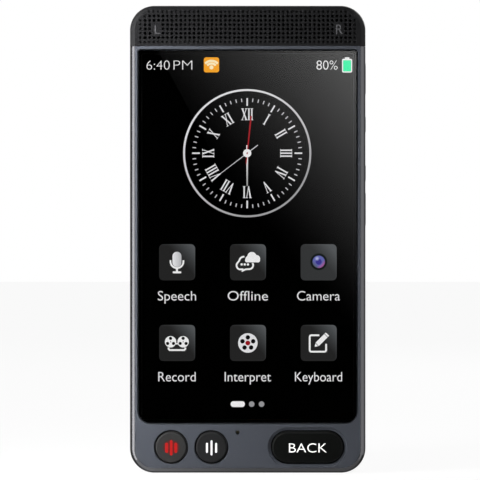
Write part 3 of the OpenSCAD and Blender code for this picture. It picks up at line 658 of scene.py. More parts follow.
# %% Openings in the bottom edge
usb_low, usb_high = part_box("usb_socket")
usb_at = centre("usb_socket")
usb_w, usb_h = usb_high.x - usb_low.x, usb_high.y - usb_low.y
usb_gap = 0.18 * mm
sound_x, sound_pitch = -13.6 * mm, 2 * mm
sound_y = 0.3 * mm
eye_x, eye_w, eye_bar = 16 * mm, 1.75 * mm, 0.8 * mm
eye_front, eye_back = -0.7 * mm, 1.4 * mm

usb_cut = opening(usb_w + 2 * usb_gap, usb_h + 2 * usb_gap, usb_h, flare=0.2 * mm, depth=2.5 * mm)
sound_holes = copies("cutter", bore(0.5 * mm, 3 * mm, sides=24),
                     shifts([(i * sound_pitch, 0, 0) for i in range(-2, 3)]))
eye_cut = opening(eye_w, eye_back - eye_front, 0.3 * mm, depth=3 * mm)
eye_y = (eye_front + eye_back) / 2
eye_cuts = copies("cutter", eye_cut,
                  shifts([(side * (eye_bar + eye_w) / 2, 0, 0) for side in (-1, 1)]))
tunnel = block("cutter", (eye_x - eye_bar / 2 - eye_w, eye_front, 1.2 * mm),
               (eye_x + eye_bar / 2 + eye_w, eye_back, 3 * mm))
cut(frame_bezel, place(usb_cut, (usb_at.x, usb_at.y, 0), "bottom"),
    place(sound_holes, (sound_x, sound_y, 0), "bottom"),
    place(eye_cuts, (eye_x, eye_y, 0), "bottom"), tunnel)
smooth(frame_bezel)
print("frame:", len(frame_bezel.data.polygons), "faces")

# %% [markdown]
# ## The speaker cap
#
# The black cap is moulded plastic with a field of small holes. The field follows the round corners,
# its border is only dimpled, and it stays blank under the two channel marks. One flared cutter is
# modelled, copied to every place, and taken out in a single cut.

# %% Where the holes go
columns, rows = 49, 8
column_pitch, row_pitch = 1.095 * mm, 1.057 * mm
mark_columns, mark_rows = (3, 4, 44, 45), (3, 4, 5)
first_row = 1.6 * mm                 # from the top edge of the body
round_reach, field_reach = 3.8 * mm, 4.6 * mm


def hole_at(i, j):
    return (i - (columns - 1) / 2) * column_pitch, body_h - first_row - j * row_pitch


def corner_reach(x, z):
    """How far a point lies from the middle of the nearest round corner."""
    return math.hypot(max(0, abs(x) - body_w / 2 + corner_r), max(0, z - body_h + corner_r))


through, dimples = [], []
for i in range(columns):
    for j in range(rows):
        x, z = hole_at(i, j)
        border = i in (0, columns - 1) or j in (0, rows - 1) or corner_reach(x, z) > round_reach
        marked = i in mark_columns and j in mark_rows
        if corner_reach(x, z) < field_reach and not marked:
            (dimples if border else through).append((x, face_y, z))
print(len(through), "holes and", len(dimples), "dimples")

# %% Hollow the cap and drill the grille
rib_w = 4 * mm
hole_r, hole_flare = 0.36 * mm, 0.05 * mm
for side in (-1, 1):
    chamber = block("cutter", (side * rib_w / 2, face_in, seam_z - 1 * mm),
                    (side * inner_w / 2, parting_y + 1 * mm, body_h - wall))
    round_corners(chamber, inner_r, lambda at: at.z > seam_z and abs(at.x) > rib_w, 12)
    cut(cap_shell, tidy(chamber))
for depth, places in ((2 * mm, through), (0.3 * mm, dimples)):
    cut(cap_shell, copies("cutter", bore(hole_r, depth, hole_flare, 14), shifts(places)))
smooth(cap_shell)
print("cap:", len(cap_shell.data.polygons), "faces")

# %% [markdown]
# ## The rear cover
#
# The back is a shallow tray with a quarter-round edge that the hand rests on. It has counterbored
# holes for four screws, and openings for the camera and its flash.

# %% The tray and its holes
rear_r = 3 * mm
rear_in = cover_high.y - 1.3 * mm
seam_edge = 0.1 * mm
cover_wall = 2.4 * mm


def tray_hollow(front, back):
    """A cutter for the inside of the tray."""
    return cavity(cover_wall, body_h - cover_wall, front, back, corner_r - cover_wall,
                  corner_r - cover_wall, body_w - 2 * cover_wall)


back_cover = plate("back_cover", body_w, body_h, parting_y + seam_edge, cover_high.y - rear_r,
                   corner_r, steps=20)
place(back_cover, UP * body_h / 2)
step_out(back_cover, BACK, arc(rear_r, 0, 90, 14))
step_out(back_cover, FRONT, slope(seam_edge, seam_edge))
cut(back_cover, tray_hollow(parting_y - 1 * mm, rear_in))
lip = plate("lip", inner_w - 0.1 * mm, body_h - 2 * wall - 0.1 * mm, cover_low.y,
            parting_y + 0.4 * mm, inner_r)
place(lip, UP * body_h / 2)
cut(lip, tray_hollow(cover_low.y - 1 * mm, parting_y + 1 * mm))
combine(back_cover, lip, "UNION")

screw_low, screw_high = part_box("case_screws")
screw_head_r = 1.5 * mm
screw_places = [(x, cover_high.y, z)
                for x in (screw_low.x + screw_head_r, screw_high.x - screw_head_r)
                for z in (screw_low.z + screw_head_r, screw_high.z - screw_head_r)]
ring_at = centre("camera_ring")
flash_at = centre("flash_lens")
post = turned("post", [(2.2 * mm, cover_low.y), (2.2 * mm, rear_in + 0.2 * mm)], 32)
posts = copies("posts", post, shifts([(x, 0, z) for x, _, z in screw_places]))
combine(back_cover, posts, "UNION")
for at in screw_places:
    well = turned("cutter", [(1.65 * mm + 0.2 * mm, -1 * mm), (1.65 * mm + 0.2 * mm, -over),
                             (1.65 * mm, 0.1 * mm), (1.65 * mm, 1.1 * mm), (0.95 * mm, 1.1 * mm),
                             (0.95 * mm, 6 * mm)], 48)
    cut(back_cover, place(well, at, "back"))
cut(back_cover,
    place(bore(4.25 * mm, 3 * mm, sides=64), (ring_at.x, cover_high.y, ring_at.z), "back"),
    place(bore(1.95 * mm, 3 * mm, sides=48), (flash_at.x, cover_high.y, flash_at.z), "back"))
smooth(back_cover)
print("rear cover:", len(back_cover.data.polygons), "faces")

# %% Screws in the rear cover
head = turned("head", [
    (1.15 * mm, 0), (1.38 * mm, 0.06 * mm), (screw_head_r, 0.22 * mm), (screw_head_r, 0.9 * mm),
    (0.7 * mm, 0.9 * mm), (0.7 * mm, 7.2 * mm)], 40)
for turn in (0, 90):
    slot = block("cutter", (-0.9 * mm, -1 * mm, -0.13 * mm), (0.9 * mm, 0.54 * mm, 0.13 * mm))
    slot.data.transform(Matrix.Rotation(math.radians(turn), 4, "Y"))
    cut(head, slot)
head.data.transform(TURNS["back"])
cover_screws = copies("cover_screws", head,
                      [Matrix.Translation(Vector((x, screw_high.y, z))) @
                       Matrix.Rotation(math.radians(25 + 40 * i), 4, "Y")
                       for i, (x, _, z) in enumerate(screw_places)])
smooth(cover_screws)
print("screws:", len(screw_places))

# %% [markdown]
# ## Keys and buttons
#
# Every key has the same edge: a narrow chamfer between two very small rounds. Behind its hole each
# one widens into a flange that keeps it in the body. The talk buttons are turned, the others start as
# pills, and the flange is a second pill that is joined to the first.

# %% The edge of a key
def soft_chamfer(width, soft, steps=3):
    """A chamfer at 45 degrees between two small rounds."""
    return chain(arc(soft, 0, 45, steps), slope(width - soft, width - soft),
                 arc(soft, 45, 90, steps))


def rim(radius, top, profile):
    """An edge profile as the (radius, y) points of a turned piece, from its flat end outwards."""
    rise = profile[-1][1]
    return [(radius - inset, top + rise - height) for inset, height in reversed(profile)]


button_edge = soft_chamfer(0.4 * mm, 0.12 * mm)
key_edge = soft_chamfer(0.15 * mm, 0.06 * mm)

# %% The two talk buttons and their marks
flange_t = 0.8 * mm
mark_t = 0.12 * mm
bar_steps = 6
mark_z = -0.12 * mm                  # the marks sit a hair below the middle


def three_bars(apart, width, height, middle_w, middle_h):
    """A long bar between two shorter ones, each as (place, width, height)."""
    return [(x * mm, w * mm, h * mm) for x, w, h in
            ((-apart, width, height), (0, middle_w, middle_h), (apart, width, height))]


red_bars = three_bars(1.12, 0.72, 2.5, 0.62, 3.8)
white_bars = three_bars(1.13, 0.5, 2.45, 0.46, 3.7)


def bars(name, sizes, front, back):
    """A row of upright pills, each given as (place, width, height)."""
    made = [place(plate(name, width, height, front, back, width, steps=bar_steps), (x, 0, mark_z))
            for x, width, height in sizes]
    return merge(name, made)


def talk_button(name, at, sizes):
    """A turned button with a recess for its mark, and the mark that fills it."""
    button = turned(name, rim(talk_r, talk_top, button_edge) + [
        (talk_r, flange_back - flange_t), (talk_r + flange_out, flange_back - flange_t),
        (talk_r + flange_out, flange_back)], 96)
    cut(button, bars("cutter", sizes, talk_top - 1 * mm, talk_top + mark_t))
    mark = bars(name + "_bars", sizes, talk_top, talk_top + mark_t)
    return [place(smooth(piece), (at.x, 0, at.z)) for piece in (button, mark)]


red_button, red_bars_piece = talk_button("red_button", red_at, red_bars)
white_button, white_bars_piece = talk_button("white_button", white_at, white_bars)
print("talk buttons:", len(red_button.data.polygons), "faces each, radius",
      round(talk_r / mm, 2), "mm")

# %% The pill-shaped button
letter_t = 0.03 * mm
pill_top = pill_low.y + letter_t
pill_rise = button_edge[-1][1]
pill = plate("pill_button", pill_l, 2 * talk_r, pill_top + pill_rise, flange_back, talk_r, steps=24)
step_out(pill, FRONT, button_edge)
flange = plate("flange", pill_l + 2 * flange_out, pill_high.z - pill_low.z, flange_back - flange_t,
               flange_back, talk_r + flange_out, steps=16)
combine(pill, flange, "UNION")
place(smooth(pill), (back_at.x, 0, back_at.z))
print("pill button:", round(pill_l / mm, 1), "x", round(2 * talk_r / mm, 1), "mm")

# %% The side keys
side_flange_t = 0.6 * mm
rocker_end, rocker_drop = 3.95 * mm, 0.17 * mm


def side_key(name, node):
    """A long pill that faces the right-hand side, with its flange behind the wall."""
    low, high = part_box(node)
    at, length = side_keys[node]
    deep = 2.52 * mm if node != "volume_rocker" else 2.72 * mm
    rise = key_edge[-1][1]
    key = plate(name, side_key_w, length, rise, deep, side_key_w / 2, steps=16)
    step_out(key, FRONT, key_edge)
    wide = plate("flange", high.y - low.y, high.z - low.z, deep - side_flange_t, deep,
                 side_key_w, steps=12)
    combine(key, wide, "UNION")
    return key


power_button = side_key("power_button", "power_key")
camera_button = side_key("camera_button", "camera_key")
rocker = side_key("rocker", "volume_rocker")
rocker_at, rocker_l = side_keys["volume_rocker"]
middle = rocker_l / 2 - rocker_end
saddle = block("cutter", (-side_key_w, -1 * mm, -middle - 0.2 * mm),
               (side_key_w, -over, middle + 0.2 * mm))
step_out(saddle, BACK, slope(0.2 * mm + over, rocker_drop + over))
cut(rocker, saddle)
hub = block("hub", (-1 * mm, 2.3 * mm, -1 * mm), (1 * mm, 4.37 * mm, 1 * mm))
combine(rocker, hub, "UNION")
pin_cut = turned("cutter", [(0.42 * mm, -3 * mm), (0.42 * mm, 3 * mm)], 32)
pin_cut.data.transform(TURNS["right"])
pin_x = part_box("rocker_pin")[1].x
cut(rocker, place(pin_cut, (0, rocker_at.x - pin_x + 0.4 * mm, 0)))
for key, node in ((power_button, "power_key"), (camera_button, "camera_key"),
                  (rocker, "volume_rocker")):
    place(smooth(key), side_keys[node][0], "right")
print("side keys made")

# %% [markdown]
# ## Glass, socket and rear camera
#
# The cover glass is a plate with a polished chamfer. The charging socket is a drawn steel shell with
# a tongue of twelve contacts on each side. The rear camera is a turned ring with a coated window, and
# behind it the dark steps of the lens barrel.

# %% The cover glass
glass_edge = soft_chamfer(0.15 * mm, 0.06 * mm)
air_gap = 0.003 * mm                 # keeps the glass off the black print behind it
glass = plate("front_glass", glass_high.x - glass_low.x, glass_high.z - glass_low.z,
              glass_low.y + glass_edge[-1][1], glass_high.y - air_gap, window_r - glass_gap,
              window_top_r - glass_gap, steps=14)
step_out(glass, FRONT, glass_edge)
place(smooth(glass), UP * window_z)
print("glass:", round((glass_high.z - glass_low.z) / mm, 1), "mm high")

# %% The charging socket
usb_wall = 0.3 * mm
usb_l = usb_high.z - usb_low.z
tongue_low, tongue_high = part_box("usb_tongue")
shell_edge = soft_chamfer(0.1 * mm, 0.05 * mm, 2)
socket_shell = plate("socket_shell", usb_w, usb_h, shell_edge[-1][1], usb_l, usb_h, steps=20)
step_out(socket_shell, FRONT, shell_edge)
hollow = opening(usb_w - 2 * usb_wall, usb_h - 2 * usb_wall, usb_h / 2 - usb_wall,
                 depth=usb_l - 0.6 * mm, flare=0.08 * mm)
cut(socket_shell, hollow)
place(smooth(socket_shell), (usb_at.x, usb_at.y, usb_low.z), "bottom")

tongue_w, tongue_t = tongue_high.x - tongue_low.x, tongue_high.y - tongue_low.y
tongue_l = tongue_high.z - tongue_low.z
tongue = plate("socket_tongue", tongue_w, tongue_t, 0.3 * mm, tongue_l, 0.12 * mm, steps=4)
step_out(tongue, FRONT, slope(0.2 * mm, 0.3 * mm))
place(smooth(tongue), (usb_at.x, (tongue_low.y + tongue_high.y) / 2, tongue_low.z), "bottom")
contact_pitch, contact_w, contact_t = 0.5 * mm, 0.26 * mm, 0.03 * mm
contact = plate("contact", contact_w, contact_t, 0.6 * mm, 3.6 * mm, 0.01 * mm, steps=2)
lines = [((i - 5.5) * contact_pitch, side * (tongue_t + contact_t) / 2, 0)
         for i in range(12) for side in (-1, 1)]
contact.data.transform(TURNS["bottom"])
contacts = copies("socket_contacts", contact, shifts(
    [(usb_at.x + x, (tongue_low.y + tongue_high.y) / 2 + y, tongue_low.z) for x, y, _ in lines]))
print("socket contacts:", len(lines))

# %% The rear camera
ring_r = 4.2 * mm
window_seat = 3.5 * mm
ring = turned("lens_ring", [
    (ring_r - 0.35 * mm, 0), (ring_r - 0.1 * mm, 0.04 * mm), (ring_r, 0.14 * mm),
    (ring_r, 1.3 * mm), (5 * mm, 1.3 * mm), (5 * mm, 1.7 * mm)], 96)
ring_cut = turned("cutter", [(window_seat + 0.12 * mm, -1 * mm), (window_seat + 0.12 * mm, 0),
                             (window_seat, 0.12 * mm), (window_seat, 1 * mm), (3 * mm, 1 * mm),
                             (3 * mm, 2 * mm)], 96)
cut(ring, ring_cut)
place(smooth(ring), (ring_at.x, cover_high.y, ring_at.z), "back")

window_edge = soft_chamfer(0.1 * mm, 0.04 * mm, 2)
window = turned("lens_window", rim(3.45 * mm, 0.25 * mm, window_edge) + [(3.45 * mm, 1 * mm)], 96)
place(smooth(window), (ring_at.x, cover_high.y, ring_at.z), "back")

barrel = turned("lens_barrel", [(2.4 * mm, 0), (2.4 * mm, 0.5 * mm)], 64)
funnel = turned("cutter", [(2.25 * mm, -0.2 * mm), (2.25 * mm, 0.05 * mm), (1.9 * mm, 0.12 * mm),
                           (1.9 * mm, 0.22 * mm), (1.5 * mm, 0.3 * mm), (1.5 * mm, 0.38 * mm),
                           (1.15 * mm, 0.44 * mm), (1.15 * mm, 1 * mm)], 64)
cut(barrel, funnel)
barrel_depth = 1.2 * mm
place(smooth(barrel), (ring_at.x, cover_high.y - barrel_depth, ring_at.z), "back")
eye = turned("lens_front", [(0.3 * mm, 0), (0.75 * mm, 0.05 * mm), (1.05 * mm, 0.14 * mm),
                            (1.13 * mm, 0.24 * mm), (1.13 * mm, 0.4 * mm)], 48)
place(smooth(eye, 60), (ring_at.x, cover_high.y - barrel_depth, ring_at.z), "back")

flash = turned("flash_window", rim(1.9 * mm, 0.05 * mm, window_edge) + [
    (1.9 * mm, 1.3 * mm), (2.4 * mm, 1.3 * mm), (2.4 * mm, 1.7 * mm), (1.2 * mm, 1.7 * mm),
    (1.2 * mm, 5 * mm)], 64)
groove = turned("groove", [(1.34 * mm, -1 * mm), (1.34 * mm, 0), (1.28 * mm, 0.1 * mm)], 64)
cut(groove, turned("cutter", [(1.1 * mm, -2 * mm), (1.1 * mm, 0), (1.16 * mm, 1 * mm)], 64))
cut(flash, place(groove, (0, 0.05 * mm, 0)))
place(smooth(flash), (flash_at.x, cover_high.y, flash_at.z), "back")
print("rear camera ring, window, barrel, front lens and flash made")

# %% [markdown]
# ## The display picture
#
# A liquid crystal panel makes its picture just behind the glass. Each figure here is a flat shape
# that glows in its own colour. A filled curve is the quickest way to draw one, because a loop inside
# another becomes a hole. It is turned into a mesh at once, and it lies on one of four thin layers, so
# that a hand can pass over a numeral.

# %% Drawing flat figures
display_y = -5.402 * mm
layer_pitch, layer_t = 0.024 * mm, 0.022 * mm


def set_depth(piece, back, depth):
    """Gives a figure drawn in the XY plane its place and depth, facing the front."""
    tidy(piece, 0.0001 * mm)
    heights = [vert.co.z for vert in piece.data.vertices]
    lowest, highest = min(heights), max(heights)
    flatten = Matrix.Diagonal((1, 1, depth / (highest - lowest), 1))
    piece.data.transform(flatten @ Matrix.Translation((0, 0, -lowest)))
    stand_up = Matrix.Rotation(math.radians(90), 4, "X")
    piece.data.transform(Matrix.Translation(BACK * back) @ stand_up)
    return piece


def drawn(name, loops, layer=0, at=(0, 0)):
    """A flat figure from closed loops of (x, z) points, in millimetres round a point."""
    only()
    bpy.ops.object.add(type="CURVE")
    piece = bpy.context.object
    piece.data.dimensions = "2D"
    piece.data.fill_mode = "BOTH"
    piece.data.extrude = 1 * mm
    for loop in loops:
        line = piece.data.splines.new("POLY")
        line.points.add(len(loop) - 1)
        line.use_cyclic_u = True
        for point, (x, z) in zip(line.points, loop):
            point.co = ((at[0] + x) * mm, (at[1] + z) * mm, 0, 1)
    bpy.ops.object.convert(target="MESH")
    settle(piece, name)
    return set_depth(piece, display_y - layer * layer_pitch, layer_t)


# %% Loops to draw with
def circle(x, z, radius, sides=40):
    turns = [math.tau * i / sides for i in range(sides)]
    return [(x + radius * math.sin(turn), z + radius * math.cos(turn)) for turn in turns]


def round_box(x, z, width, height, radius, steps=6):
    """A box with round corners about a point."""
    points = []
    for right, up, start in ((1, 1, 0), (1, -1, 90), (-1, -1, 180), (-1, 1, 270)):
        for i in range(steps + 1):
            turn = math.radians(start + 90 * i / steps)
            points.append((x + right * (width / 2 - radius) + radius * math.sin(turn),
                           z + up * (height / 2 - radius) + radius * math.cos(turn)))
    return points


def bar(start, end, width, tip=None):
    """A straight stroke between two points, which may taper to another width."""
    start, end = Vector(start), Vector(end)
    side = (end - start).orthogonal().normalized() / 2
    tip = width if tip is None else tip
    return [tuple(point) for point in (start + side * width, end + side * tip,
                                       end - side * tip, start - side * width)]


def ribbon(points, width):
    """An open bent stroke of even width, whose corners are mitred."""
    points = [Vector(point) for point in points]
    ways = [(b - a).normalized() for a, b in zip(points, points[1:])]
    sides = []
    for i, point in enumerate(points):
        before, after = ways[max(0, i - 1)], ways[min(i, len(ways) - 1)]
        across = (before.orthogonal() + after.orthogonal()).normalized()
        sides.append(across * width / 2 / max(0.3, across.dot(before.orthogonal())))
    ahead = [tuple(point + side) for point, side in zip(points, sides)]
    behind = [tuple(point - side) for point, side in zip(points, sides)]
    return ahead + behind[::-1]


def bend(x, z, radius, start, end, steps=10, squeeze=1.0):
    """Points along a round, from one clock angle to another."""
    turns = [math.radians(start + (end - start) * i / steps) for i in range(steps + 1)]
    return [(x + radius * squeeze * math.sin(turn), z + radius * math.cos(turn)) for turn in turns]


# %% Letters
def lettering(name, words, at, height, width, back=display_y, depth=layer_t, weight=0.0):
    """Words of a width and capital height round a point, all in millimetres, as a flat solid."""
    def written(body):
        only()
        bpy.ops.object.text_add()
        piece = bpy.context.object
        piece.data.body = body
        piece.data.offset = weight
        piece.data.extrude = 0.1
        piece.data.resolution_u = 5
        bpy.ops.object.convert(target="MESH")
        return settle(bpy.context.object, name)

    def span(piece, axis):
        steps = [vert.co[axis] for vert in piece.data.vertices]
        return min(steps), max(steps)

    sample = written("H")
    foot, top = span(sample, 1)
    bpy.data.objects.remove(sample)
    piece = written(words)
    left, right = span(piece, 0)
    stretch = Matrix.Diagonal((width * mm / (right - left), height * mm / (top - foot), 1, 1))
    piece.data.transform(stretch @ Matrix.Translation((-(left + right) / 2, -(foot + top) / 2, 0)))
    piece.data.transform(Matrix.Translation((at[0] * mm, at[1] * mm, 0)))
    return set_depth(piece, back, depth)

# %% [markdown]
# ## The clock
#
# The clock has a ring, sixty ticks, twelve Roman numerals whose tops point outwards, and three hands.
# Only one tick of each kind and the letters I, V and X are drawn. Everything else is a copy, turned
# about the middle of the clock.

# %% Clock ring and ticks
clock_x, clock_z = -0.135 * mm, 78.67 * mm
clock_mm = (clock_x / mm, clock_z / mm)


def clock_turns(angles, aside=0.0):
    """Moves that carry a figure drawn upright at the origin to some angles of the clock."""
    hub_at = Matrix.Translation((clock_x, 0, clock_z))
    sideways = Matrix.Translation((aside, 0, 0))
    return [hub_at @ Matrix.Rotation(math.radians(angle), 4, "Y") @ sideways for angle in angles]


clock_ring = drawn("clock_ring", [circle(0, 0, 15.77, 128), circle(0, 0, 15.3, 128)], at=clock_mm)
major_tick = drawn("tick", [bar((0, 11.65), (0, 13.54), 0.36)])
minor_tick = drawn("tick", [bar((0, 12.65), (0, 13.51), 0.24)])
major_ticks = copies("major_ticks", major_tick, clock_turns(range(0, 360, 30)))
minor_ticks = copies("minor_ticks", minor_tick,
                     clock_turns([6 * i for i in range(60) if i % 5]))
print("ticks:", 12, "and", 48)

# %% Numerals
serif, thick = 0.12, 0.34
cap_half = 1.45
inner_half = cap_half - serif
letters = {
    "I": (0.72, [(-0.33, cap_half), (0.33, cap_half), (0.33, inner_half), (thick / 2, inner_half),
                 (thick / 2, -inner_half), (0.33, -inner_half), (0.33, -cap_half),
                 (-0.33, -cap_half), (-0.33, -inner_half), (-thick / 2, -inner_half),
                 (-thick / 2, inner_half), (-0.33, inner_half)]),
    "V": (1.5, [(-0.76, cap_half), (-0.1, cap_half), (-0.1, inner_half), (-0.25, inner_half),
                (0.08, -0.7), (0.4, inner_half), (0.2, inner_half), (0.2, cap_half),
                (0.76, cap_half), (0.76, inner_half), (0.57, inner_half), (0.1, -cap_half),
                (-0.1, -cap_half), (-0.62, inner_half), (-0.76, inner_half)]),
    "X": (1.55, [(-0.76, cap_half), (-0.1, cap_half), (-0.1, inner_half), (-0.26, inner_half),
                 (0.07, 0.3), (0.38, inner_half), (0.18, inner_half), (0.18, cap_half),
                 (0.76, cap_half), (0.76, inner_half), (0.55, inner_half), (0.16, 0.06),
                 (0.66, -inner_half), (0.76, -inner_half), (0.76, -cap_half), (0.1, -cap_half),
                 (0.1, -inner_half), (0.26, -inner_half), (-0.07, -0.3), (-0.38, -inner_half),
                 (-0.18, -inner_half), (-0.18, -cap_half), (-0.76, -cap_half),
                 (-0.76, -inner_half), (-0.55, -inner_half), (-0.16, -0.06),
                 (-0.66, inner_half), (-0.76, inner_half)]),
}
hours = ["XII", "I", "II", "III", "IV", "V", "VI", "VII", "VIII", "IX", "X", "XI"]
numeral_r = 9.58
moves = {letter: [] for letter in letters}
for i, hour in enumerate(hours):
    aside = -sum(letters[letter][0] for letter in hour) / 2
    for letter in hour:
        advance = letters[letter][0]
        moves[letter] += clock_turns([30 * i], (aside + advance / 2) * mm)
        aside += advance
numerals = merge("numerals", [
    copies("letter", drawn("letter", [[(x, numeral_r + z) for x, z in loop]]), moves[letter])
    for letter, (_, loop) in letters.items()])
print("numeral letters:", sum(len(places) for places in moves.values()))

# %% Hands
minute_way = Vector((-27.6, -21)).normalized()
second_way = Vector((3.9, 37.2)).normalized()
hour_loop = [(-0.21, 1.97), (0.21, 1.97), (0.21, 0), (0.16, -8.1), (-0.16, -8.1), (-0.21, 0)]
minute_loop = bar(-minute_way * 3.3, minute_way * 8.5, 0.24, 0.14)
second_loop = bar(-second_way * 2.6, second_way * 9.2, 0.24, 0.42)
hour_hand = drawn("hour_hand", [hour_loop], 1, clock_mm)
minute_hand = drawn("minute_hand", [minute_loop], 2, clock_mm)
second_hand = drawn("second_hand", [second_loop], 2, clock_mm)
second_hand.data.transform(Matrix.Translation(FRONT * 0.0005 * mm))
clock_hub = drawn("clock_hub", [circle(0, 0, 1.0), circle(0, 0, 0.24, 20)], 3, clock_mm)
print("clock hands and hub made")

# %% [markdown]
# ## Tiles, icons and words
#
# Six tiles carry an icon each, with a word under it. The icons are built from circles, strokes and
# round boxes. All tiles are one piece, since their shading repeats from tile to tile.

# %% Tiles and labels
tile_x = (-17.41, 0.02, 17.41)
tile_z = (51.84, 31.99)
tiles = drawn("tiles", [round_box(x + 0.03, z, 8.86, 8.9, 1.05) for x in tile_x for z in tile_z])
label_z = (43.6, 23.7)
words = (("Speech", "Offline", "Camera"), ("Record", "Interpret", "Keyboard"))
label_w = ((9.4, 9.9, 10.6), (9.2, 11.4, 11.6))
labels = merge("labels", [
    lettering("label", words[row][i], (tile_x[i], label_z[row]), 2.3, label_w[row][i],
              weight=-0.004)
    for row in range(2) for i in range(3)])
print("labels:", sum(words, ()))

# %% Microphone icon
mic_tile = (tile_x[0], tile_z[0])
mic_head = drawn("mic_head", [round_box(0, 0.7, 2.2, 3.75, 1.09, 10)], 2, mic_tile)
cradle_line = [(-1.58, 0.5)] + bend(0, 0.15, 1.58, -90, -270, 16) + [(1.58, 0.5)]
mic_cradle = merge("mic_cradle", [
    drawn("mic_cradle", [ribbon(cradle_line, 0.42)], 1, mic_tile),
    drawn("mic_foot", [round_box(0, -2.47, 2.1, 0.48, 0.2, 4)], 1, mic_tile),
    drawn("mic_stem", [round_box(0, -1.95, 0.5, 1.1, 0.1, 2)], 2, mic_tile)])
print("microphone icon made")

# %% Cloud icon
cloud_tile = (tile_x[1], tile_z[0])
cloud_puffs = [circle(1.0, 1.42, 1.12), circle(2.12, 0.88, 0.9), circle(0.2, 0.78, 0.8)]
cloud = merge("cloud", [drawn("puff", [puff], 3, cloud_tile) for puff in cloud_puffs] +
              [drawn("puff", [round_box(1.16, 0.45, 3.7, 0.94, 0.45)], 3, cloud_tile)])
bubble_line = (bend(-0.95, 0.22, 1.16, 5, -80, 8) + bend(-1.78, -0.78, 1.0, -40, -165, 8) +
               [(-1.3, -1.72), (-1.3, -2.08), (-0.5, -1.72)] +
               bend(0.35, -0.72, 0.96, 175, 55, 8))
bubble = drawn("bubble", [ribbon(bubble_line, 0.42)], 1, cloud_tile)
bubble_dots = drawn("bubble_dots", [circle(x, -0.53, 0.29, 20) for x in (-1.52, -0.76, 0.02)], 1,
                    cloud_tile)
print("cloud icon made")

# %% Lens icon
lens_tile = (tile_x[2] + 0.04, tile_z[0] + 0.12)
lens_disc = drawn("lens_disc", [circle(0, 0, 2.15)], 1, lens_tile)
print("lens icon made")

# %% Tape recorder icon
tape_tile = (tile_x[0], tile_z[1])
reel_x = (-1.57, 1.52)
reels = []
for x in reel_x:
    reels += [circle(x, 0.3, 1.4), circle(x, 0.3, 0.13, 12)]
    reels += [circle(x + 0.84 * math.sin(turn), 0.3 + 0.84 * math.cos(turn), 0.4, 18)
              for turn in (0, math.tau / 3, 2 * math.tau / 3)]
tape_reels = drawn("tape_reels", reels, 2, tape_tile)
tape_dark = drawn("tape_dark", [circle(x, 0.3, 1.3, 24) for x in reel_x], 1, tape_tile)
tray_line = [(-2.05, -1.1), (-2.05, -1.45), (-1.8, -1.74), (1.8, -1.74), (2.05, -1.45),
             (2.05, -1.1)]
tape_tray = drawn("tape_tray", [ribbon(tray_line, 0.44),
                                round_box(0, -0.2, 0.6, 0.3, 0.05, 2)], 1, tape_tile)
print("tape recorder icon made")

# %% Film reel icon
film_tile = (tile_x[1], tile_z[1])
film_holes = [circle(1.38 * math.sin(i * math.tau / 5), 1.38 * math.cos(i * math.tau / 5), 0.55, 24)
              for i in range(5)]
film_reel = drawn("film_reel", [circle(0, 0, 2.4, 56), circle(0, 0, 0.6, 28)] + film_holes, 2,
                  film_tile)
film_core = drawn("film_core", [circle(0, 0, 0.58, 28)], 2, film_tile)
film_dark = drawn("film_dark", [circle(0, 0, 2.0, 28)], 1, film_tile)
print("film reel icon made")

# %% Writing icon
note_tile = (tile_x[2] - 0.15, tile_z[1] - 0.12)
note_line = ([(0.35, 2.02)] + bend(-1.6, 1.6, 0.42, 0, -90, 4) +
             bend(-1.6, -1.6, 0.42, -90, -180, 4) + bend(1.6, -1.6, 0.42, -180, -270, 4) +
             [(2.02, -0.1)])
note_box = drawn("note_box", [ribbon(note_line, 0.44)], 1, note_tile)
pen = (Vector((-0.72, -0.75)), Vector((2.35, 2.3)))
pen_way = (pen[1] - pen[0]).normalized()
pen_body = bar(pen[0] + pen_way * 0.75, pen[1] - pen_way * 0.55, 1.15)
pen_tip = bar(pen[0], pen[0] + pen_way * 0.62, 0.2, 0.95)
pen_end = bar(pen[1] - pen_way * 0.42, pen[1], 1.15)
pencil = drawn("pencil", [pen_body, pen_tip, pen_end], 2, note_tile)
print("six icons made")

# %% Status line and page marks
status_z = 100.35
clock_words = lettering("clock_words", "6:40", (-22.05, status_z), 2.2, 5.7,
                        weight=-0.017)
half_words = lettering("half_words", "PM", (-15.95, status_z), 2.2, 4.6,
                       weight=-0.021)
level_words = lettering("level_words", "80%", (19.5, status_z), 2.2, 5.2,
                        weight=-0.012)
badge_at = (-8.92, 100.4)
badge = drawn("badge", [round_box(0, 0, 3.75, 3.7, 0.55)], 0, badge_at)
badge_arcs = drawn("badge_arcs", [
    ribbon(bend(0, -1.1, radius, -48, 48, 8), 0.54) for radius in (1.42, 2.1)] +
    [circle(0, -0.62, 0.5, 20)], 1, badge_at)
battery_at = (24.44, 100.3)
battery_line = drawn("battery_line", [
    round_box(0, -0.1, 2.5, 3.4, 0.4), round_box(0, -0.14, 1.96, 2.76, 0.2),
    round_box(0, 1.76, 1.1, 0.4, 0.12, 2)], 0, battery_at)
battery_level = drawn("battery_level", [round_box(0, -0.14, 1.92, 2.72, 0.18, 4)], 0, battery_at)
page_z = 16.95
page_marks = drawn("page_marks", [round_box(-2.46, page_z, 3.5, 1.42, 0.7)])
page_dots = drawn("page_dots", [circle(x, page_z, 0.68, 28) for x in (0.97, 3.4)])
print("status line and page marks made")

# %% [markdown]
# ## Printed letters
#
# The cap has a channel mark at each side and the pill-shaped button names its job. They are printed,
# so they stand no more than a few hundredths of a millimetre above the surface.

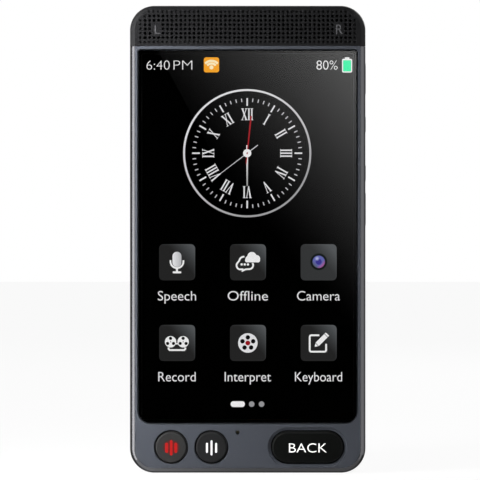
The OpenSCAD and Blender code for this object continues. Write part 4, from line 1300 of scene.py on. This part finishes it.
# %% Letters on the body
print_t = 0.012 * mm
left_mark = lettering("left_mark", "L", (-22.2, 109.05), 2.05, 1.3,
                      back=face_y + print_t / 2, depth=print_t, weight=-0.015)
right_mark = lettering("right_mark", "R", (22.5, 109.1), 2.3, 1.6,
                       back=face_y + print_t / 2, depth=print_t, weight=-0.005)
button_word = lettering("button_word", "BACK", (14.78, 6.25), 2.2, 9.3,
                        back=pill_top + 0.01 * mm, depth=letter_t + 0.009 * mm, weight=-0.006)
print("letters printed")

# %% [markdown]
# ## Finishes of the outer pieces
#
# The frame is anodised to a blue-grey satin. The cap and the keys are black moulded plastic of
# different gloss, and the rear cover has a soft-touch coat. The turned ring keeps the fine circles of
# the lathe, so its pattern runs round its own middle.

# %% Outer finishes
def front_rim(made):
    """1 on the round and the chamfer round the face, else 0, and the roughness there."""
    x, y, z = made.axes()
    beyond_x = (x.size() - (body_w / 2 - corner_r)).at_least(0)
    beyond_z = ((z - body_h / 2).size() - (body_h / 2 - corner_r)).at_least(0)
    away = span_of(beyond_x, beyond_z)
    round_share = ((y - face_y - 0.85 * mm) / (0.3 * mm)).share()
    return (away > corner_r - edge_in) * (y < face_y + edge_rise), 0.14 + round_share * 0.16


slate_metal = coated_metal("slate_metal", paint(99, 103, 112), roughness=0.42, metallic=0.75,
                           polished=front_rim)
cap_plastic = moulded("cap_plastic", paint(20, 20, 21), roughness=0.38, grain=0.2 * mm,
                      Specular_IOR_Level=0.25)
soft_touch = moulded("soft_touch", paint(66, 70, 77), roughness=0.62, grain=0.25 * mm,
                     Coat_Weight=0.04)
key_plastic = moulded("key_plastic", paint(34, 35, 38), roughness=0.42, Specular_IOR_Level=0.35)
black_oxide = coated_metal("black_oxide", paint(52, 52, 56), roughness=0.38, metallic=0.8)
steel = bare_metal("steel", paint(176, 178, 182), roughness=0.3)
tongue_plastic = moulded("tongue_plastic", paint(24, 24, 26), roughness=0.4)
gold = bare_metal("gold", paint(222, 182, 104), roughness=0.22, stretch=(1, 1, 6))
barrel_plastic = moulded("barrel_plastic", paint(40, 40, 43), roughness=0.5, grain=0.06 * mm,
                         depth=0.001 * mm)


def turned_metal(name, colour, middle, pitch=0.09 * mm):
    """Metal with fine circles round an axis that runs front to back."""
    made = Finish(name, Metallic=0.9)
    x, _, z = made.axes()
    away = span_of(x - middle.x, z - middle.z)
    circles = (away * (math.tau / pitch)).wave() * 0.5 + 0.5
    clouds = made.noise(3 * mm)
    made.set("Base Color", made.mottle(circles * 0.4 + clouds * 0.6, colour, 0.85, 1.15))
    made.set("Roughness", 0.22 + clouds * 0.1 + circles * 0.04)
    made.bump(circles, 0.002 * mm)
    return made


ring_metal = turned_metal("ring_metal", paint(120, 124, 132), ring_at)

# %% Talk buttons
def button_plastic(name, colour, at, glow=None):
    """Satin plastic, with a faint glow of light painted into its colour round a mark that shines
    through it.
    """
    made = Finish(name, Specular_IOR_Level=0.25)
    clouds = made.noise(5 * mm)
    fine = made.noise(0.11 * mm, 3.0)
    shade = made.mottle(clouds * 0.5 + fine * 0.5, colour, 0.88, 1.12)
    if glow:
        # painted glow: the colour turns towards the glow colour near the mark
        x, y, z = made.axes()
        away = span_of((x - at.x) / (1.75 * mm), (z - at.z) / (1.5 * mm))
        painted_glow_share = ((1.3 - away) * 2.0).share()
        face = y < talk_top + 0.2 * mm
        shade = made.blend(painted_glow_share * face, shade, glow)
    made.set("Base Color", shade)
    made.set("Roughness", 0.36 + clouds * 0.06 + fine * 0.05)
    made.bump(fine, 0.003 * mm)
    return made


# the dark red round the red mark is a painted glow
red_plastic = button_plastic("red_plastic", paint(34, 34, 34), red_at, paint(70, 14, 12))
white_plastic = button_plastic("white_plastic", paint(24, 24, 25), white_at)
pill_plastic = button_plastic("pill_plastic", paint(9, 10, 9), back_at)
print("outer finishes ready")


# %% Marks and print
def printed(name, colour, shine=0.0):
    """Ink or light-guiding plastic, a little uneven as ink is. Its shine is an emission, which on ink
    is a painted glow.
    """
    made = Finish(name, Emission_Strength=shine, Specular_IOR_Level=0.2)
    patches = made.noise(0.5 * mm, 4.0)
    shade = made.mottle(patches, colour, 0.9, 1.05)
    made.set("Base Color", shade)
    made.set("Emission Color", shade)
    made.set("Roughness", 0.34 + patches * 0.12)
    return made


red_light = printed("red_light", paint(126, 11, 9), 0.12)
white_light = printed("white_light", paint(190, 190, 190), 0.2)
# the white ink glows a little: a painted glow
white_ink_painted_glow = printed("white_ink_painted_glow", paint(216, 216, 214), 0.15)
grey_ink = printed("grey_ink", paint(68, 68, 70))

# %% Glass
def clear(name, colour, roughness=0.0, ior=1.5, smear=0.0):
    """Clear glass or plastic. Its gloss changes only by the traces of a cloth."""
    made = Finish(name, Base_Color=colour, Transmission_Weight=1.0, IOR=ior)
    wiped = made.noise(12 * mm, 2.0, (1, 1, 0.4))
    made.set("Roughness", roughness + wiped * smear)
    return made


polished_glass = clear("polished_glass", (1, 1, 1, 1))
coated_window = clear("coated_window", paint(226, 222, 236), ior=1.16)
flash_clear = clear("flash_clear", paint(250, 247, 228), roughness=0.08, smear=0.04)
front_lens = Finish("front_lens", Roughness=0.03, Coat_Weight=1.0)
x, _, z = front_lens.axes()
away = span_of(x - ring_at.x, z - ring_at.z) / (1.13 * mm)
front_lens.set("Base Color", front_lens.blend(away * away, paint(8, 10, 34), paint(74, 34, 96)))
print("glass and ink ready")

# %% [markdown]
# ## Finishes of the display
#
# A display glows by itself, so its figures have a black base and an emission of their own colour.
# Tiles and the clock ring are shaded across their width. The tiles repeat, so their shading wraps
# round with the pitch of the tiles.

# %% Plain display colours
bright = glowing("bright", paint(240, 240, 240))
soft_white = glowing("soft_white", paint(226, 226, 228))
pale_grey = glowing("pale_grey", paint(196, 196, 200))
page_grey = glowing("page_grey", paint(150, 150, 152))
deep_black = glowing("deep_black", paint(9, 9, 10))
core_red = glowing("core_red", paint(150, 14, 26))
hand_red = glowing("hand_red", paint(158, 30, 38))
leaf_green = glowing("leaf_green", paint(0, 242, 164))
cream = glowing("cream", paint(255, 238, 190))
amber = glowing("amber", paint(250, 166, 36))


# %% Shaded display colours
def shaded(name, low, high, factor_of):
    """A display colour that changes over a figure."""
    made = dark_glow(name)
    made.set("Emission Color", made.blend(factor_of(made), low, high))
    return made


def tile_shade(made):
    """Lighter towards the top right corner, with a thin light line round the edge there. A painted
    sheen makes the camera tile lighter all over.
    """
    x, _, z = made.axes()
    half = 4.43 * mm
    pitch_x, pitch_z = 17.41 * mm, 19.85 * mm
    across = (x - 0.02 * mm).wrap(pitch_x) / half
    up = (z - 31.99 * mm).wrap(pitch_z) / half
    corner = (across * 0.75 + up * 0.65 - 0.23).at_least(0)
    line = ((across.at_least(up) - 0.94) * 25).share()
    # painted sheen: the camera tile at the top right is lighter all over
    camera_tile_painted_sheen = (x > 10 * mm) * (z > 45 * mm) * 0.25
    return (corner * corner * 0.4 + corner * 0.6 + line * 0.3 * (across * 0.25 + up * 0.25 + 0.5)
            + camera_tile_painted_sheen)


def ring_shade(made):
    x, _, z = made.axes()
    return ((z - clock_z) - (x - clock_x) * 0.7) / (32 * mm) + 0.5


tile_glow = shaded("tile_glow", paint(37, 37, 37), paint(84, 87, 89), tile_shade)
ring_glow = shaded("ring_glow", paint(160, 160, 162), paint(226, 226, 228), ring_shade)
hour_glow = shaded("hour_glow", paint(70, 70, 72), paint(245, 245, 245),
                   lambda made: 1 - (clock_z - made.axes()[2]) / (8.4 * mm) * 0.75)
capsule_glow = shaded("capsule_glow", paint(150, 152, 156), paint(236, 236, 238),
                      lambda made: (made.axes()[0] - (tile_x[0] * mm)) / (1.3 * mm) * -0.4 + 0.62)

lens_glow = dark_glow("lens_glow")
x, _, z = lens_glow.axes()
lens_x, lens_z = (x - lens_tile[0] * mm) / mm, (z - lens_tile[1] * mm) / mm
away = span_of(lens_x, lens_z)
body = lens_glow.blend((away - 0.62) * 4, paint(58, 54, 140), paint(98, 102, 172))
shadow = ((lens_x + lens_z) * -0.8 - 0.7).share()
body = lens_glow.blend(shadow, body, paint(86, 94, 104))
pink = ((lens_x - lens_z) * 0.9 - 0.7).share() * ((away - 0.75) * 4).share()
body = lens_glow.blend(pink, body, paint(158, 92, 152))
glint = (1 - span_of(lens_x + 0.4, lens_z - 0.8) * 1.6).at_least(0)
body = lens_glow.blend(glint, body, paint(184, 190, 230))
rim_dark = lens_glow.blend((away - 1.4) * 5, body, paint(20, 26, 25))
lens_glow.set("Emission Color", lens_glow.blend((away - 1.95) * 5, rim_dark, paint(54, 56, 57)))
print("display colours ready")

# %% [markdown]
# ## Finishes of the pieces inside
#
# The solids that stay get their finishes by material slot. Most are members of the same families.
# The boards carry copper lines under green lacquer, the flexes show their tracks, the cell sits in a
# crinkled foil pouch, and the sound cloth is a fine black weave.

# %% Boards and flexes
def circuit_board(name):
    made = Finish(name)
    x, _, z = made.axes()
    tracks = made.node("ShaderNodeTexBrick", {"offset": 0.5}, {
        "Vector": made.place(), "Scale": 1 / (9 * mm), "Mortar Size": 0.014, "Brick Width": 0.55,
        "Row Height": 0.12}, output=1)
    grains = made.noise(0.6 * mm, 4.0)
    vias = made.node("ShaderNodeTexVoronoi",
                     inputs={"Vector": made.place(), "Scale": 1 / (1.9 * mm)})
    lacquer = made.blend(grains, paint(12, 74, 40), paint(20, 92, 52))
    copper = made.blend(tracks, lacquer, paint(46, 124, 66))
    made.set("Base Color", made.blend(vias < 0.16, copper, paint(206, 176, 100)))
    made.set("Roughness", 0.34 + grains * 0.1)
    made.bump(tracks, 0.02 * mm)
    return made


def striped(name, dark, light, pitch, roughness):
    """A flexible circuit whose tracks show through its film."""
    made = Finish(name, Roughness=roughness)
    x, y, z = made.axes()
    wave = ((x + y) * (math.tau / pitch)).wave()
    made.set("Base Color", made.blend(wave > 0.1, dark, light))
    made.bump(wave, 0.01 * mm)
    return made


# %% Foil, cloth, foam and paper
def foil(name, colour):
    made = Finish(name, Metallic=0.85)
    creases = made.noise(5 * mm, 6.0, (1, 1, 0.6))
    made.set("Base Color", made.mottle(creases, colour, 0.85, 1.1))
    made.set("Roughness", 0.26 + creases * 0.16)
    made.bump(creases, 0.12 * mm)
    return made


def woven(name, colour, pitch=0.16 * mm):
    """A plain weave: threads that go over and under each other in two directions."""
    made = Finish(name)
    x, _, z = made.axes()
    warp = (x * (math.tau / pitch)).wave()
    weft = (z * (math.tau / pitch)).wave()
    threads = warp * weft * 0.5 + 0.5
    made.set("Base Color", made.mottle(threads, colour, 0.4, 1.6))
    made.set("Roughness", 0.75 + threads * 0.2)
    made.bump(threads, 0.03 * mm)
    return made


def spongy(name, colour, size=0.3 * mm):
    made = Finish(name)
    cells = made.node("ShaderNodeTexVoronoi", inputs={"Vector": made.place(), "Scale": 1 / size})
    made.set("Base Color", made.mottle(cells, colour, 0.6, 1.5))
    made.set("Roughness", 0.8 + cells * 0.15)
    made.bump(cells, 0.05 * mm)
    return made


# %% Finish by slot
slot_finish = {
    "steel": steel,
    "black_film": moulded("black_film", paint(6, 6, 6), roughness=0.8, depth=0.001 * mm,
                          Specular_IOR_Level=0.0),
    "black_seal": spongy("black_seal", paint(14, 14, 14)),
    "display": moulded("display_black", paint(6, 6, 6), roughness=0.8, depth=0.0005 * mm,
                       Specular_IOR_Level=0.0),
    "reflector": moulded("reflector_white", paint(226, 228, 230), roughness=0.5, spread=0.03),
    "amber_flex": striped("amber_flex", paint(150, 92, 36), paint(196, 128, 54), 0.8 * mm, 0.35),
    "board": circuit_board("board_green"),
    "chip": moulded("chip_black", paint(46, 47, 49), roughness=0.6, depth=0.008 * mm),
    "connector": moulded("connector_ivory", paint(212, 206, 188), roughness=0.45, spread=0.05),
    "cell": foil("cell_foil", paint(186, 190, 196)),
    "diaphragm": spongy("diaphragm_paper", paint(66, 66, 70), 0.6 * mm),
    "contact": bare_metal("spring_brass", paint(214, 176, 110), roughness=0.25, stretch=(1, 8, 1)),
    "acoustic_cloth": woven("acoustic_cloth", paint(9, 9, 10)),
    "sensor_can": coated_metal("sensor_can", paint(206, 188, 140), roughness=0.3, metallic=0.9),
    "led": spongy("led_phosphor", paint(232, 206, 92), 0.12 * mm),
    "black_screw": black_oxide,
    "plunger": moulded("plunger_ivory", paint(222, 218, 206), roughness=0.5, spread=0.04),
    "pad": moulded("pad_rubber", paint(98, 98, 102), roughness=0.75, depth=0.006 * mm),
    "switch": moulded("switch_black", paint(54, 54, 56), roughness=0.5),
    "black_cap": cap_plastic,
}
print("slots with a finish:", len(slot_finish))

# %% [markdown]
# ## Dressing the pieces
#
# Each new piece gets its finish and the body it moves with, and the solids that it stands for are
# hidden.
# The remaining solids only get a finish.

# %% New pieces
def dress(piece, finish, body="case", instead=()):
    piece.data.materials.clear()
    piece.data.materials.append(finish.material)
    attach(piece, body)
    if instead:
        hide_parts(*instead)


dress(frame_bezel, slate_metal, instead=["front_frame"])
dress(cap_shell, cap_plastic, instead=["speaker_cap"])
dress(back_cover, soft_touch, instead=["rear_cover"])
dress(cover_screws, black_oxide, instead=["case_screws"])
dress(ring, ring_metal, instead=["camera_ring"])
dress(window, coated_window, instead=["camera_window"])
dress(barrel, barrel_plastic)
dress(eye, front_lens)
dress(flash, flash_clear, instead=["flash_lens"])
dress(glass, polished_glass, instead=["cover_glass"])
dress(socket_shell, steel, instead=["usb_socket"])
dress(tongue, tongue_plastic, instead=["usb_tongue"])
dress(contacts, gold)
dress(red_button, red_plastic, "red_talk", ["red_talk_button"])
dress(red_bars_piece, red_light, "red_talk", ["red_button_mark"])
dress(white_button, white_plastic, "white_talk", ["white_talk_button"])
dress(white_bars_piece, white_light, "white_talk", ["white_button_mark"])
dress(pill, pill_plastic, "back", ["back_button"])
dress(button_word, white_ink_painted_glow, "back")
dress(power_button, key_plastic, "power", ["power_key"])
dress(rocker, key_plastic, "volume", ["volume_rocker"])
dress(camera_button, key_plastic, "camera", ["camera_key"])
dress(left_mark, grey_ink)
dress(right_mark, grey_ink)

figures = [
    (clock_ring, ring_glow), (major_ticks, soft_white), (minor_ticks, pale_grey),
    (numerals, soft_white), (hour_hand, hour_glow), (minute_hand, pale_grey),
    (second_hand, hand_red), (clock_hub, bright), (tiles, tile_glow), (labels, soft_white),
    (mic_head, capsule_glow), (mic_cradle, bright), (cloud, bright), (bubble, bright),
    (bubble_dots, bright), (lens_disc, lens_glow), (tape_reels, bright), (tape_dark, deep_black),
    (tape_tray, bright), (film_reel, soft_white), (film_core, core_red), (film_dark, deep_black),
    (note_box, bright),
    (pencil, bright), (clock_words, bright), (half_words, bright), (level_words, bright),
    (badge, amber), (badge_arcs, cream), (battery_line, bright), (battery_level, leaf_green),
    (page_marks, bright), (page_dots, page_grey)]
for figure, finish in figures:
    dress(figure, finish)
print("display figures:", len(figures))

# %% Remaining solids
clad = []
for part in frame["record"]["subparts"]:
    solid = frame["nodes"][part["node"]]
    slot = "black_film" if part["node"] == "glass_gasket" else part["material_slot"]
    if slot in slot_finish:
        solid.data.materials.clear()
        solid.data.materials.append(slot_finish[slot].material)
        clad.append(part["node"])
print("solids with the finish of their slot:", len(clad))

# %% [markdown]
# ## The studio
#
# The object stands on a pale floor before a white background. A tall softbox stands close to its
# left, so the metal grows darker towards the right. It is kept out of mirror images, where it would
# be a glaring strip. Metal and glass show a tent of plain cards instead: black in front, brighter at
# the left than at the right, with a narrow card level with each edge that has to shine. One more
# card behind the camera carries the soft light on the glass, and its dark part keeps the display
# deep.

# %% Camera
scene = bpy.context.scene
eye_distance = 655.2 * mm
camera_at = Vector((0, face_y - eye_distance, 57.32 * mm))
only()
bpy.ops.object.camera_add(location=camera_at, rotation=(math.radians(90), 0, 0))
camera = bpy.context.object
camera.data.lens = 200
camera.data.sensor_width = 36
camera.data.shift_x = -7.75 / 480
camera.data.clip_start = 0.01
scene.camera = camera
print("camera", round(eye_distance / mm), "mm in front of the face")

# %% World
world = bpy.data.worlds.new("studio_world")
scene.world = world
world.use_nodes = True
nodes, links = world.node_tree.nodes, world.node_tree.links
background = nodes["Background"]
path = nodes.new("ShaderNodeLightPath")
seen = path.outputs["Is Camera Ray"]
for output in ("Is Glossy Ray", "Is Transmission Ray"):
    either = nodes.new("ShaderNodeMath")
    either.operation = "MAXIMUM"
    links.new(seen, either.inputs[0])
    links.new(path.outputs[output], either.inputs[1])
    seen = either.outputs[0]
level = nodes.new("ShaderNodeMapRange")
level.inputs["To Min"].default_value = 0.42
level.inputs["To Max"].default_value = 1.0
links.new(seen, level.inputs["Value"])
links.new(level.outputs[0], background.inputs["Strength"])
background.inputs["Color"].default_value = (1, 1, 1, 1)
print("world light", round(level.inputs["To Min"].default_value, 2))


# %% Floor
def sheet_of_card(name, at, facing, width, height):
    """A flat card about a point, which faces a direction."""
    only()
    bpy.ops.mesh.primitive_plane_add(size=1)
    made = settle(bpy.context.object, name)
    turn = Vector(facing).to_track_quat("Z", "Y").to_matrix().to_4x4()
    grow = Matrix.Diagonal((width, height, 1, 1))
    made.data.transform(Matrix.Translation(Vector(at)) @ turn @ grow)
    return made


def shining_card(name, at, facing, width, height, strength):
    """A card that only a mirror image shows, whether at the front or at the back of the glass."""
    shine = Finish(name)
    if callable(strength):
        strength = strength(shine)
    glow = shine.node("ShaderNodeEmission", inputs={"Color": (1, 1, 1, 1), "Strength": strength})
    shine.feed(shine.tree.nodes["Material Output"].inputs[0], glow)
    card = sheet_of_card(name, at, facing, width, height)
    card.data.materials.append(shine.material)
    card.visible_camera = card.visible_diffuse = card.visible_shadow = False


floor = sheet_of_card("floor", (0, 0, -0.05 * mm), UP, 6, 6)
floor_white = Finish("floor_white", Base_Color=(0.8, 0.8, 0.8, 1), Roughness=0.9)
light_path = floor_white.node("ShaderNodeLightPath")
glow = floor_white.node("ShaderNodeEmission", inputs={"Strength": 1.0})
mixed = floor_white.tree.nodes.new("ShaderNodeMixShader")
floor_white.feed(mixed.inputs[0], light_path * 0.92)
floor_white.tree.links.new(floor_white.shader.outputs[0], mixed.inputs[1])
floor_white.feed(mixed.inputs[2], glow)
floor_white.tree.links.new(mixed.outputs[0], floor_white.tree.nodes["Material Output"].inputs[0])
floor.data.materials.append(floor_white.material)
floor.visible_glossy = floor.visible_transmission = False
print("floor laid")

# %% The card that the glass reflects
glass_shine = 0.08
card_y = glass_low.y - 2 * (eye_distance + glass_low.y - face_y)


def sheen(made):
    """Light that fades from the upper right corner of the glass and ends in a straight edge."""
    x, _, z = made.axes()
    on_glass_x = x / (3 * mm)
    on_glass_z = (z - camera_at.z) / (3 * mm) + camera_at.z / mm
    level = (0.357 + (on_glass_x - 26.6) * 0.0059 + (on_glass_z - 103) * 0.00495).at_least(0)
    lit = (on_glass_x + (on_glass_z - 104) * 0.528) > -22.17
    return level ** 2.2 * lit / glass_shine


shining_card("sheen_card", (0, card_y, camera_at.z + 3 * (window_z - camera_at.z)), BACK,
             3 * window_w + 8 * mm, 3 * window_h + 8 * mm, sheen)
print("sheen card", round(-card_y / mm), "mm in front")


# %% Softboxes
def softbox(name, at, aim, width, height, power):
    only()
    bpy.ops.object.light_add(type="AREA", location=at)
    lamp = bpy.context.object
    lamp.name = name
    lamp.data.shape = "RECTANGLE"
    lamp.data.size, lamp.data.size_y = width, height
    lamp.data.energy = power
    lamp.rotation_euler = (Vector(aim) - Vector(at)).to_track_quat("-Z", "Y").to_euler()
    lamp.visible_camera = False
    return lamp


key = softbox("key", (-0.08, -0.056, 0.07), (-0.02, -0.006, 0.06), 0.03, 0.24, 0.6)
key.visible_glossy = key.visible_transmission = False
softbox("top", (0, -0.3, 0.5), (0, 0, 0.06), 0.5, 0.3, 0.7)
softbox("rear", (0.3, 0.5, 0.4), (0, 0, 0.06), 0.4, 0.4, 1.5)
print("three softboxes")

# %% Tent
shining_card("wall_front", (0, card_y - 0.1, 0.5), BACK, 4, 4, 0.0)
shining_card("wall_left", (-1.6, -0.8, 0.5), RIGHT, 2, 4, 0.8)
shining_card("wall_back_left", (-1.6, 2.35, 0.5), RIGHT, 4.3, 4, 0.1)
shining_card("wall_right", (1.6, -0.65, 0.5), LEFT, 2.3, 4, 0.5)
shining_card("wall_back_right", (1.6, 2.5, 0.5), LEFT, 4, 4, 0.12)
shining_card("wall_top", (0, 1, 1.9), DOWN, 4, 6, 0.05)
shining_card("wall_bottom", (0, 0, -0.6), UP, 4, 4, 0.05)
shining_card("edge_left", (-0.6, 0.012, 0.3), RIGHT, 0.11, 1.4, 2.8)
shining_card("edge_right", (0.6, 0.012, 0.3), LEFT, 0.11, 1.4, 0.7)
shining_card("edge_bottom", (0, 0, -0.5), UP, 3, 0.3,
             lambda made: 0.3 + ((made.axes()[0] + 0.005) * -9).at_least(0).at_most(0.4))
print("tent of ten cards")

# %% Picture settings
scene.view_settings.view_transform = "Standard"
